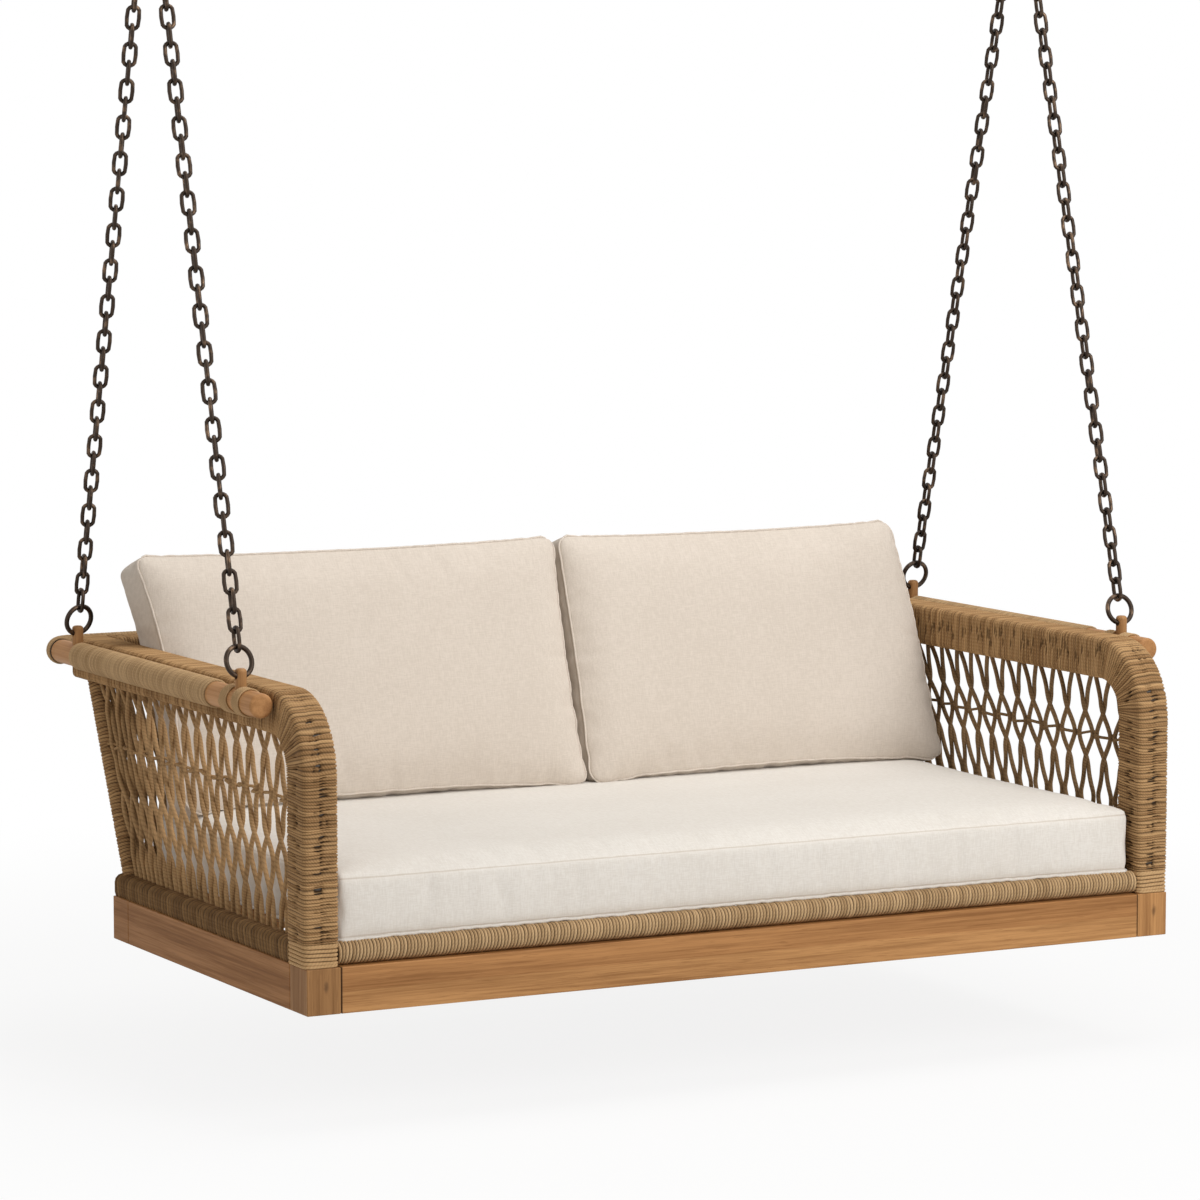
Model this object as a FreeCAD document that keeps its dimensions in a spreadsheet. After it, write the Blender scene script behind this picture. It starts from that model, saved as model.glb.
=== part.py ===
import FreeCAD, Part
import math
import os
import re
from types import SimpleNamespace

import Sketcher
from FreeCAD import Placement, Rotation, Vector

# A hanging porch seat: a teak plinth, rope-bound arms and back, loose cushions, and four chains
# that meet in pairs under two ceiling brackets. Millimetres and degrees, +X right, +Y back, +Z up.
# The origin lies on the ceiling, midway between the brackets.

# Driving sizes, one cell each
SIZES = {
    # where the seat hangs
    "seat_drop": 2222,
    "front_peg_setback": 216,
    "back_peg_inset": 90.3,
    "clearance": 0.3,
    # teak plinth
    "plinth_width": 1854,
    "plinth_depth": 923,
    "plinth_height": 85,
    "rail_thickness": 50,
    "block_width": 67,
    "block_depth": 76,
    "joint_gap": 0.6,
    "edge_ease": 2,
    # slats and their bearers
    "slat_width": 96,
    "slat_thickness": 16,
    "slat_spacing": 142,
    "slat_end_gap": 4,
    "bearer_thickness": 25,
    "bearer_height": 50,
    # rope-bound seat bars on the plinth
    "bar_diameter": 44,
    "bar_tube": 32,
    "bar_wall": 2,
    "bar_inset": 26,
    "back_bar_inset": 18,
    # arms and back band
    "arm_inset": 31,
    "arm_top": 578,
    "band_width": 70,
    "band_height": 82,
    "band_corner": 18,
    "band_rope": 8,
    "band_wall": 3,
    "band_inset": 1,
    "bend_radius": 109,
    "back_overhang": 157,
    # leaning back posts
    "post_diameter": 34,
    "post_tube": 22,
    "post_wall": 2,
    # rope lashing at the front posts' feet
    "foot_cord": 8,
    "foot_pitch": 9,
    "foot_turns": 4,
    # outer rail: teak dowels, back tube and their rope
    "dowel_diameter": 46,
    "dowel_wrap": 54,
    "dowel_drop": 27,
    "dowel_front": 120,
    "dowel_end_round": 7,
    "dowel_wrap_start": 329,
    "dowel_bare_end": 106.3,
    "corner_radius": 36,
    "back_rail_wall": 3,
    # short lashing on each side of the front peg
    "dowel_cord": 3.6,
    "dowel_pitch": 4.4,
    "dowel_turns": 7,
    # pegs and rings
    "peg_diameter": 22,
    "peg_rise": 59,
    "peg_depth": 12,
    "peg_round": 6,
    "peg_hole": 13,
    "peg_hole_drop": 14,
    "ring_radius": 28,
    "ring_wire": 9.5,
    # chain
    "link_wire": 8,
    "link_inner_width": 15,
    "link_nominal": 36,
    "top_ring_radius": 31,
    # hanging eyes and ceiling brackets
    "eye_length": 38,
    "eye_thickness": 12,
    "eye_hole": 12,
    "boss_diameter": 28,
    "boss_length": 24,
    "bush_diameter": 16,
    "bush_fit": 0.03,
    "running_fit": 0.05,
    "bolt_diameter": 10,
    "bolt_head": 7,
    "bolt_flats_radius": 9.8,
    "ear_thickness": 6,
    "ear_width": 36,
    "ear_drop": 40,
    "ear_gap": 0.5,
    "plate_length": 130,
    "plate_width": 70,
    "plate_thickness": 6,
    "screw_hole": 9,
    "screw_spacing": 90,
    # open rope nets
    "net_cord": 8,
    "net_pitch": 57,
    # cushions
    "cushion_side_gap": 5,
    "seat_cushion_front": 22,
    "seat_cushion_rear": 45,
    "seat_cushion_thickness": 120,
    "seat_crown": 16,
    "back_cushion_gap": 4,
    "back_cushion_height": 520,
    "back_cushion_thickness": 125,
    "back_crown": 18,
    "back_cushion_lean": 17,
    "back_cushion_setback": 211,
    "cushion_draw_in": 6,
    "cushion_side_swell": 7,
}

doc = FreeCAD.newDocument("hanging_seat")
sheet = doc.addObject("Spreadsheet::Sheet", "sizes")
for row, (name, value) in enumerate(SIZES.items(), start=1):
    sheet.set(f"A{row}", name)
    sheet.set(f"B{row}", str(value))
    sheet.setAlias(f"B{row}", name)
doc.recompute()
mm = SimpleNamespace(**{name: sheet.get(name) for name in SIZES})

# Sides of the seat, with the sign of X there
SIDES = {"left": -1, "right": 1}
ALONG_X = Rotation(Vector(0, 1, 0), 90)
ALONG_Y = Rotation(Vector(1, 0, 0), -90)
UPRIGHT = Rotation()

# Places in the seat's own frame: Y from the plinth's front face, Z from its underside
ARM_CENTRE = "(plinth_width / 2 - arm_inset)"
BACK_CENTRE = "(plinth_depth + back_overhang)"
DOWEL_REAR = f"({BACK_CENTRE} + band_width / 2 + dowel_wrap / 2 + clearance - corner_radius)"
BACK_PEG = f"({DOWEL_REAR} - back_peg_inset)"
BEHIND_PEGS = f"(front_peg_setback + {BACK_PEG}) / 2"
arm_centre = mm.plinth_width / 2 - mm.arm_inset
back_centre = mm.plinth_depth + mm.back_overhang
ARM_END = back_centre + mm.band_width / 2
BACK_RAIL_Y = ARM_END + mm.dowel_wrap / 2 + mm.clearance
back_peg = BACK_RAIL_Y - mm.corner_radius - mm.back_peg_inset
peg_spacing = back_peg - mm.front_peg_setback
HANG_SETBACK = mm.front_peg_setback + peg_spacing / 2
SEAT_FRAME = Placement(Vector(0, -HANG_SETBACK, -mm.seat_drop), UPRIGHT)
BAR_TOP = mm.plinth_height + mm.bar_diameter
BAND_BOTTOM = mm.arm_top - mm.band_height
DOWEL_AXIS = "(arm_top - dowel_drop)"
dowel_axis = mm.arm_top - mm.dowel_drop
ARM_AXIS = mm.arm_top - mm.band_height / 2
POST_AXIS = mm.band_inset + mm.band_height / 2
POST_BACK = mm.band_inset + mm.band_height
ARM_INNER = arm_centre - mm.band_width / 2
DOWEL_OFFSET = f"({ARM_CENTRE} + band_width / 2 + dowel_wrap / 2 + clearance)"
DOWEL_X = arm_centre + mm.band_width / 2 + mm.dowel_wrap / 2 + mm.clearance
FOOT_HEIGHT = mm.foot_turns * mm.foot_pitch + mm.foot_cord

# The back posts and the back net lie in one leaning plane
BACK_BAR_Y = mm.plinth_depth - mm.back_bar_inset
BACK_SLOPE = (back_centre - BACK_BAR_Y) / (BAND_BOTTOM - BAR_TOP)
BACK_LEAN = math.atan(BACK_SLOPE)


def back_plane(height):
    """Y of the leaning back plane at a height above the plinth's underside."""
    return BACK_BAR_Y + (height - BAR_TOP) * BACK_SLOPE


nodes = []


def node(thing):
    """Marks an object as a sub-part that gets its own file."""
    nodes.append(thing)
    return thing


def bind(thing, **expressions):
    """Ties properties to the sheet; a double underscore stands for a dot in a property's path."""
    for path, text in expressions.items():
        named = re.sub(r"[a-z_]+", lambda word: f"sizes.{word[0]}" if word[0] in SIZES else word[0], text)
        thing.setExpression(path.replace("__", "."), named)


def place(thing, x, y, z, turn=UPRIGHT):
    """Puts an object at expressions in the part's frame."""
    thing.Placement = Placement(Vector(), turn)
    bind(thing, Placement__Base__x=x, Placement__Base__y=y, Placement__Base__z=z)
    return thing


def place_on_seat(thing, x, y, z, turn=UPRIGHT):
    """Puts an object at expressions in the seat's own frame."""
    return place(thing, x, f"{y} - {BEHIND_PEGS}", f"{z} - seat_drop", turn)


def feature(label, shape, at=SEAT_FRAME):
    """An object for a form that sketches and primitives don't give."""
    thing = doc.addObject("Part::Feature", label)
    thing.Shape = shape
    thing.Placement = at
    return thing


def group(label, things):
    """Several like solids under one name."""
    thing = doc.addObject("Part::Compound", label)
    thing.Links = things
    return thing


def cut(label, base, tools):
    """A base with every tool taken out of it."""
    thing = doc.addObject("Part::Cut", label)
    thing.Base = base
    thing.Tool = tools[0] if len(tools) == 1 else fuse(f"{label}_tools", tools)
    return thing


def fuse(label, things):
    """Touching pieces made one."""
    thing = doc.addObject("Part::MultiFuse", label)
    thing.Shapes = things
    return thing


def sketch_on(body, label):
    """An empty sketch on the body's own ground plane."""
    sketch = body.newObject("Sketcher::SketchObject", f"{label}_outline")
    ground = next(plane for plane in body.Origin.OriginFeatures if plane.Role == "XY_Plane")
    sketch.AttachmentSupport = (ground, [""])
    sketch.MapMode = "FlatFace"
    return sketch


def padded(body, sketch, label, length):
    """The sketch raised by a length."""
    pad = body.newObject("PartDesign::Pad", f"{label}_pad")
    pad.Profile = sketch
    bind(pad, Length=length)
    doc.recompute()
    return pad


def eased(body, pad, label, edges, radius):
    """Rounds the named edges of a pad."""
    fillet = body.newObject("PartDesign::Fillet", f"{label}_eased")
    fillet.Base = (pad, edges)
    bind(fillet, Radius=radius)


def board(label, wide, deep, tall, x, y, z):
    """A squared timber with eased edges; its lowest corner is at x, y, z of the seat."""
    body = doc.addObject("PartDesign::Body", label)
    sketch = sketch_on(body, label)
    corners = [Vector(0, 0), Vector(1, 0), Vector(1, 1), Vector(0, 1)]
    sketch.addGeometry([Part.LineSegment(a, b) for a, b in zip(corners, corners[1:] + corners[:1])], False)
    rules = [Sketcher.Constraint("Coincident", side, 2, (side + 1) % 4, 1) for side in range(4)]
    rules += [Sketcher.Constraint("Horizontal", side) for side in (0, 2)]
    rules += [Sketcher.Constraint("Vertical", side) for side in (1, 3)]
    rules.append(Sketcher.Constraint("Coincident", 0, 1, -1, 1))
    rules.append(Sketcher.Constraint("DistanceX", 0, 1, 0, 2, 1))
    rules.append(Sketcher.Constraint("DistanceY", 1, 1, 1, 2, 1))
    sketch.addConstraint(rules)
    sketch.renameConstraint(len(rules) - 2, "wide")
    sketch.renameConstraint(len(rules) - 1, "deep")
    bind(sketch, Constraints__wide=wide, Constraints__deep=deep)
    pad = padded(body, sketch, label, tall)
    eased(body, pad, label, [f"Edge{n + 1}" for n in range(len(pad.Shape.Edges))], "edge_ease")
    return place_on_seat(body, x, y, z)


def rod(label, radii, long, x, y, z, turn, end_round=None):
    """A rod, or a tube where two radii are given, that runs from x, y, z of the seat."""
    body = doc.addObject("PartDesign::Body", label)
    sketch = sketch_on(body, label)
    for ring, radius in enumerate(radii):
        sketch.addGeometry(Part.Circle(Vector(), Vector(0, 0, 1), 1 + len(radii) - ring), False)
        sketch.addConstraint(Sketcher.Constraint("Coincident", ring, 3, -1, 1))
        rule = sketch.addConstraint(Sketcher.Constraint("Radius", ring, 1 + len(radii) - ring))
        sketch.renameConstraint(rule, f"radius{ring}")
        bind(sketch, **{f"Constraints__radius{ring}": radius})
    pad = padded(body, sketch, label, long)
    if end_round:
        rims = [f"Edge{n + 1}" for n, edge in enumerate(pad.Shape.Edges) if edge.isClosed()]
        eased(body, pad, label, rims, end_round)
    return place_on_seat(body, x, y, z, turn)


# Teak plinth: four rails between four corner blocks
rail_reach = "plinth_width - 2 * block_width - 2 * joint_gap"
rail_left = "-plinth_width / 2 + block_width + joint_gap"
node(board("front_rail", rail_reach, "rail_thickness", "plinth_height", rail_left, "0", "0"))
node(board("back_rail", rail_reach, "rail_thickness", "plinth_height", rail_left,
           "plinth_depth - rail_thickness", "0"))
side_reach = "plinth_depth - 2 * block_depth - 2 * joint_gap"
for side, x in (("left", "-plinth_width / 2"), ("right", "plinth_width / 2 - rail_thickness")):
    node(board(f"{side}_side_rail", "rail_thickness", side_reach, "plinth_height",
               x, "block_depth + joint_gap", "0"))
for end, y in (("front", "0"), ("back", "plinth_depth - block_depth")):
    for side, x in (("left", "-plinth_width / 2"), ("right", "plinth_width / 2 - block_width")):
        node(board(f"{end}_{side}_block", "block_width", "block_depth", "plinth_height", x, y, "0"))

# Slats from front to back on two bearers, their tops level with the seat bars
bearer_top = "plinth_height + bar_diameter - slat_thickness"
bearers = [
    board(f"{end}_bearer", "plinth_width - 2 * block_width", "bearer_thickness", "bearer_height",
          "-plinth_width / 2 + block_width", y, f"{bearer_top} - bearer_height")
    for end, y in (("front", "rail_thickness"), ("back", "plinth_depth - rail_thickness - bearer_thickness"))
]
node(group("slat_bearers", bearers))
slat_room = mm.plinth_width - 2 * mm.block_width - mm.slat_width
slat_count = int(slat_room // mm.slat_spacing) + 1
slat_reach = "plinth_depth - 2 * rail_thickness - 2 * slat_end_gap"
slats = [
    board(f"seat_slat_{n + 1}", "slat_width", slat_reach, "slat_thickness",
          f"{n - (slat_count - 1) / 2} * slat_spacing - slat_width / 2", "rail_thickness + slat_end_gap", bearer_top)
    for n in range(slat_count)
]
node(group("seat_slats", slats))

# Seat bars: tubes under rope, lying on the plinth between the posts
bar_axis = "plinth_height + bar_diameter / 2"
bar_outer = "bar_diameter / 2"
bar_core = "bar_tube / 2"
bar_bore = "bar_tube / 2 - bar_wall"
front_reach = f"2 * {ARM_CENTRE} - band_width - 2 * clearance"
front_start = f"-{ARM_CENTRE} + band_width / 2 + clearance"
back_reach = f"2 * {ARM_CENTRE} - post_diameter - 2 * clearance"
back_start = f"-{ARM_CENTRE} + post_diameter / 2 + clearance"
side_start = "(band_inset + band_height + clearance)"
side_bar_reach = f"plinth_depth - {side_start}"
bar_routes = {
    "front": (front_reach, front_start, "bar_inset", ALONG_X),
    "back": (back_reach, back_start, "plinth_depth - back_bar_inset", ALONG_X),
    "left": (side_bar_reach, "-plinth_width / 2 + bar_inset", side_start, ALONG_Y),
    "right": (side_bar_reach, "plinth_width / 2 - bar_inset", side_start, ALONG_Y),
}
bar_tubes = []
for name, (reach, x, y, turn) in bar_routes.items():
    bar_tubes.append(rod(f"{name}_bar_tube", (bar_core, bar_bore), reach, x, y, bar_axis, turn))
    node(rod(f"{name}_bar_wrap", (bar_outer, f"{bar_core} + clearance"), reach, x, y, bar_axis, turn))
node(group("seat_bar_tubes", bar_tubes))


def rounded_rectangle(wide, high, corner):
    """A closed outline with round corners, about the origin, wide in X and high in Y."""
    arcs = []
    for quadrant, (u, v) in enumerate(((1, 1), (-1, 1), (-1, -1), (1, -1))):
        centre = Vector(u * (wide / 2 - corner), v * (high / 2 - corner))
        start = quadrant * math.pi / 2
        arcs.append(Part.Arc(Part.Circle(centre, Vector(0, 0, 1), corner), start, start + math.pi / 2).toShape())
    edges = []
    for arc, following in zip(arcs, arcs[1:] + arcs[:1]):
        edges.append(arc)
        edges.append(Part.makeLine(arc.Vertexes[-1].Point, following.Vertexes[0].Point))
    return Part.Wire(edges)


def band_section(inset):
    """The band's outline, drawn in all round by an inset."""
    return rounded_rectangle(mm.band_width - 2 * inset, mm.band_height - 2 * inset, mm.band_corner - inset)


def hollow_sweep(path, outer_inset, inner_inset, turn):
    """The band between two insets, along a path whose first point takes the section."""
    start = Placement(path.Vertexes[0].Point, turn)
    shells = []
    for inset in (outer_inset, inner_inset):
        section = band_section(inset)
        section.Placement = start
        shells.append(path.makePipeShell([section], True, False))
    return shells[0].cut(shells[1])


def arm_path(x, foot):
    """Up the front post, round the bend and back along the arm."""
    bend_start = Vector(x, POST_AXIS, ARM_AXIS - mm.bend_radius)
    bend_end = Vector(x, POST_AXIS + mm.bend_radius, ARM_AXIS)
    slant = mm.bend_radius * (1 - math.sqrt(0.5))
    bend_middle = Vector(x, POST_AXIS + slant, ARM_AXIS - slant)
    return Part.Wire([
        Part.makeLine(Vector(x, POST_AXIS, foot), bend_start),
        Part.Arc(bend_start, bend_middle, bend_end).toShape(),
        Part.makeLine(bend_end, Vector(x, ARM_END, ARM_AXIS)),
    ])


def back_rail_path():
    """From the left dowel's rear end round the corner, along the back and round to the right dowel."""
    near = BACK_RAIL_Y - mm.corner_radius
    side = DOWEL_X - mm.corner_radius
    inward = mm.corner_radius * (1 - math.sqrt(0.5))
    z = dowel_axis
    edges = []
    for sign in SIDES.values():
        start = Vector(sign * DOWEL_X, near + mm.clearance, z)
        bend = Vector(sign * (DOWEL_X - inward), BACK_RAIL_Y - inward, z)
        edges.append((start, bend, Vector(sign * side, BACK_RAIL_Y, z)))
    left, right = (Part.Arc(*points).toShape() for points in edges)
    return Part.Wire([left, Part.makeLine(edges[0][2], edges[1][2]), right])


def rail_rod(radius):
    """A round rod along the back rail's path."""
    path = back_rail_path()
    circle = Part.Wire(Part.Circle(path.Vertexes[0].Point, Vector(0, 1, 0), radius).toShape())
    return path.makePipeShell([circle], True, False)


# Arms: a flat tube from the plinth's corner, bent over the front and run to the back, under rope
tube_inset = mm.band_rope
for side, sign in SIDES.items():
    x = sign * arm_centre
    tube = hollow_sweep(arm_path(x, mm.plinth_height), tube_inset, tube_inset + mm.band_wall, UPRIGHT)
    node(feature(f"{side}_arm_tube", tube))
    wrap = hollow_sweep(arm_path(x, mm.plinth_height + FOOT_HEIGHT), 0, tube_inset - mm.clearance, UPRIGHT)
    # the back rail's corner presses into the wrap's rear end
    node(feature(f"{side}_arm_wrap", wrap.cut(rail_rod(mm.dowel_wrap / 2 + mm.clearance))))

# Back band between the arms' rear ends, with the same section lying on its side
band_end = Vector(ARM_INNER - mm.clearance, back_centre, ARM_AXIS)
band_start = Vector(-band_end.x, band_end.y, band_end.z)
band_path = Part.Wire([Part.makeLine(band_start, band_end)])
across = Rotation(Vector(0, 1, 0), Vector(0, 0, 1), Vector(1, 0, 0), "ZXY")
node(feature("back_band_tube", hollow_sweep(band_path, tube_inset, tube_inset + mm.band_wall, across)))
node(feature("back_band_wrap", hollow_sweep(band_path, 0, tube_inset - mm.clearance, across)))


def leaning_post(x, radius, bore):
    """A round tube in the leaning back plane, saddled on the side bar and cut level under the arm."""
    bar_height = mm.plinth_height + mm.bar_diameter / 2
    rise = BAND_BOTTOM - bar_height
    foot = Vector(x, back_plane(bar_height), bar_height)
    solids = []
    for r in (radius, bore):
        far = foot + Vector(0, r / math.cos(BACK_LEAN), 0)
        ellipse = Part.Ellipse(far, foot + Vector(r, 0, 0), foot)
        solids.append(Part.Face(Part.Wire(ellipse.toShape())).extrude(Vector(0, rise * BACK_SLOPE, rise)))
    bar_start = Vector(math.copysign(mm.plinth_width / 2 - mm.bar_inset, x), 0, bar_height)
    bar = Part.makeCylinder(mm.bar_diameter / 2 + mm.clearance, 2 * mm.plinth_depth, bar_start, Vector(0, 1, 0))
    return solids[0].cut(solids[1]).cut(bar)


# Back posts under the arms' rear ends
post_tubes = []
for side, sign in SIDES.items():
    x = sign * arm_centre
    core = mm.post_tube / 2
    post_tubes.append(feature(f"{side}_post_tube", leaning_post(x, core, core - mm.post_wall)))
    node(feature(f"{side}_back_post_wrap", leaning_post(x, mm.post_diameter / 2, core + mm.clearance)))
node(group("back_posts", post_tubes))


def half_turn(wide, high, corner, z, rise, back):
    """Half a loop round the Z axis in one tilted plane, over the front or the back."""
    reach = math.hypot(wide / 2, rise / 2)
    along = Vector(wide / 2, 0, rise / 2 if not back else -rise / 2) / reach
    middle = Vector(0, 0, z + rise / 2)
    away = Vector(0, 1 if back else -1, 0)

    def point(p, q):
        return middle + along * p + away * q

    ends = (-reach, reach) if not back else (reach, -reach)
    if corner >= high / 2:
        return [Part.Arc(point(ends[0], 0), point(0, reach), point(ends[1], 0)).toShape()]
    edges = []
    depth = high / 2
    inward = corner * (1 - math.sqrt(0.5))
    first, last = (math.copysign(1, end) for end in ends)
    side = reach - corner
    edges.append(Part.makeLine(point(first * reach, 0), point(first * reach, depth - corner)))
    edges.append(Part.Arc(point(first * reach, depth - corner), point(first * (reach - inward), depth - inward),
                          point(first * side, depth)).toShape())
    edges.append(Part.makeLine(point(first * side, depth), point(last * side, depth)))
    edges.append(Part.Arc(point(last * side, depth), point(last * (reach - inward), depth - inward),
                          point(last * reach, depth - corner)).toShape())
    edges.append(Part.makeLine(point(last * reach, depth - corner), point(last * reach, 0)))
    return edges


def winding(label, wide, high, corner, cord, rises):
    """One unbroken cord wound round the Z axis, half a turn for each rise, with straight ends."""
    edges = [Part.makeLine(Vector(-wide / 2, cord, 0), Vector(-wide / 2, 0, 0))]
    z = 0
    for n, rise in enumerate(rises):
        edges += half_turn(wide, high, corner, z, rise, n % 2 == 1)
        z += rise
    end = edges[-1].Vertexes[-1].Point
    tail = Vector(0, -cord if len(rises) % 2 == 0 else cord, 0)
    edges.append(Part.makeLine(end, end + tail))
    path = Part.Wire(edges)
    section = Part.Wire(Part.Circle(Vector(-wide / 2, cord, 0), Vector(0, 1, 0), cord / 2).toShape())
    steps = path.discretize(Distance=cord / 2)
    nearby_steps = 4
    gap = min(a.distanceToPoint(b) for n, a in enumerate(steps) for b in steps[n + nearby_steps:]) - cord
    print(f"{label}: least gap of the cord to itself {gap:.2f} mm")
    return path.makePipeShell([section], True, False)


# Foot lashings: cord wound straight on the front posts' tubes, below the rope wrap
foot_wide = mm.band_width - 2 * mm.band_rope + mm.foot_cord + 2 * mm.clearance
foot_high = mm.band_height - 2 * mm.band_rope + mm.foot_cord + 2 * mm.clearance
foot_corner = mm.band_corner - mm.band_rope + mm.foot_cord / 2
foot_rises = [mm.foot_pitch / 2] * int(2 * mm.foot_turns)
for side, sign in SIDES.items():
    label = f"{side}_foot_lashing"
    lashing = winding(label, foot_wide, foot_high, foot_corner, mm.foot_cord, foot_rises)
    foot = Vector(sign * arm_centre, POST_AXIS, mm.plinth_height + mm.foot_cord / 2)
    node(feature(label, lashing, SEAT_FRAME * Placement(foot, UPRIGHT)))

# Outer rail: a teak dowel along each arm, with sockets for the pegs and a long rope wrap
peg_places = {"front": "front_peg_setback", "back": BACK_PEG}
peg_foot = f"{DOWEL_AXIS} - peg_depth"
dowel_reach = f"{DOWEL_REAR} - dowel_front"
for side, sign in SIDES.items():
    x = f"{sign} * {DOWEL_OFFSET}"
    whole = rod(f"{side}_dowel_whole", ("dowel_diameter / 2",), dowel_reach, x, "dowel_front", DOWEL_AXIS,
                ALONG_Y, "dowel_end_round")
    sockets = []
    for end, y in peg_places.items():
        socket = doc.addObject("Part::Cylinder", f"{side}_{end}_socket")
        bind(socket, Radius="peg_diameter / 2 + clearance / 2", Height="dowel_diameter")
        sockets.append(place_on_seat(socket, x, y, peg_foot))
    node(cut(f"{side}_arm_dowel", whole, sockets))
    node(rod(f"{side}_dowel_wrap", ("dowel_wrap / 2", "dowel_diameter / 2 + clearance"),
             f"{DOWEL_REAR} - dowel_bare_end - dowel_wrap_start", x, "dowel_wrap_start", DOWEL_AXIS, ALONG_Y))

# Short lashings on the dowels: turns before the peg, one long half turn under it, turns behind it
dowel_loop = mm.dowel_diameter + mm.dowel_cord + 2 * mm.clearance
peg_leap = mm.peg_diameter + mm.dowel_cord + 2 * mm.clearance
half_rises = [mm.dowel_pitch / 2] * int(2 * mm.dowel_turns)
dowel_rises = half_rises + [peg_leap] + half_rises
lash_start = mm.front_peg_setback - sum(dowel_rises) / 2
underside_first = Rotation(Vector(-1, 0, 0), Vector(0, 0, 1), Vector(0, 1, 0), "ZXY")
for side, sign in SIDES.items():
    label = f"{side}_dowel_lashing"
    lashing = winding(label, dowel_loop, dowel_loop, dowel_loop / 2, mm.dowel_cord, dowel_rises)
    start = Vector(sign * DOWEL_X, lash_start, dowel_axis)
    node(feature(label, lashing, SEAT_FRAME * Placement(start, underside_first)))


# Back rail: a tube that goes on from the dowels, wrapped in rope
rail_bore = mm.dowel_diameter / 2
node(feature("back_rail_wrap", rail_rod(mm.dowel_wrap / 2).cut(rail_rod(rail_bore + mm.clearance))))
node(feature("back_rail_tube", rail_rod(rail_bore).cut(rail_rod(rail_bore - mm.back_rail_wall))))

# Pegs stand in the dowels and take a ring each
pegs = []
for side, sign in SIDES.items():
    x = f"{sign} * {DOWEL_OFFSET}"
    for end, y in peg_places.items():
        label = f"{side}_{end}_peg"
        whole = rod(f"{label}_whole", ("peg_diameter / 2",), "peg_rise + peg_depth",
                    x, y, peg_foot, UPRIGHT, "peg_round")
        bore = doc.addObject("Part::Cylinder", f"{label}_bore")
        bind(bore, Radius="peg_hole / 2", Height="2 * peg_diameter")
        place_on_seat(bore, f"{x} - peg_diameter", y, f"{DOWEL_AXIS} + peg_rise - peg_hole_drop", ALONG_X)
        pegs.append(cut(label, whole, [bore]))
node(group("hanger_pegs", pegs))

# Rings and chains hang in one plane on each side, and meet under the hanging eye
APEX_Z = -(mm.plate_thickness + mm.ear_drop + mm.eye_length + mm.top_ring_radius)
PEG_HOLE_Z = dowel_axis + mm.peg_rise - mm.peg_hole_drop - mm.seat_drop
# a ring passes through a peg's bore and rests on its curved side
bore_sag = mm.ring_radius - math.sqrt(mm.ring_radius ** 2 - (mm.peg_diameter / 2) ** 2)


def stadium(length, radius):
    """The middle line of a chain link, along Z and wide in X."""
    straight = length / 2 - radius
    low, high = Vector(0, 0, -straight), Vector(0, 0, straight)
    across, up = Vector(radius, 0, 0), Vector(0, 0, radius)
    return Part.Wire([
        Part.makeLine(low + across, high + across),
        Part.Arc(high + across, high + up, high - across).toShape(),
        Part.makeLine(high - across, low - across),
        Part.Arc(low - across, low - up, low + across).toShape(),
    ])


def chain_link(length):
    """One link whose inside is a length long."""
    radius = (mm.link_inner_width + mm.link_wire) / 2
    path = stadium(length + mm.link_wire, radius)
    section = Part.Wire(Part.Circle(Vector(radius, 0, 0), Vector(0, 0, 1), mm.link_wire / 2).toShape())
    return path.makePipeShell([section], True, False)


for side, sign in SIDES.items():
    apex = Vector(sign * DOWEL_X, 0, APEX_Z)
    top_ring = Part.makeTorus(mm.top_ring_radius, mm.ring_wire / 2)
    node(feature(f"{side}_top_ring", top_ring, Placement(apex, ALONG_X)))
    for end, away in (("front", -1), ("back", 1)):
        hole = Vector(sign * DOWEL_X, away * peg_spacing / 2, PEG_HOLE_Z)
        direction = (apex - hole).normalize()
        turn = Rotation(Vector(0, 0, 1), direction)
        centre = hole + direction * (mm.ring_radius - bore_sag / 2)
        ring = Part.makeTorus(mm.ring_radius, mm.ring_wire / 2)
        node(feature(f"{side}_{end}_ring", ring, Placement(centre, turn * Rotation(Vector(1, 0, 0), 90))))
        # an even count of links, so that the first grips the low ring and the last the high one
        span = (apex - centre).Length
        room = span - mm.top_ring_radius - mm.ring_radius + mm.ring_wire
        links = 2 * round(room / (2 * mm.link_nominal))
        inside = (room + (links + 1) * mm.clearance) / links
        first = mm.ring_radius - mm.ring_wire / 2 - mm.clearance + inside / 2
        shapes = []
        for n in range(links):
            link = chain_link(inside)
            along = centre + direction * (first + n * (inside - mm.clearance))
            quarter = Rotation(Vector(0, 0, 1), 90 if n % 2 == 0 else 0)
            link.Placement = Placement(along, turn * quarter)
            shapes.append(link)
        node(feature(f"{side}_{end}_chain", Part.makeCompound(shapes), Placement()))

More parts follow.
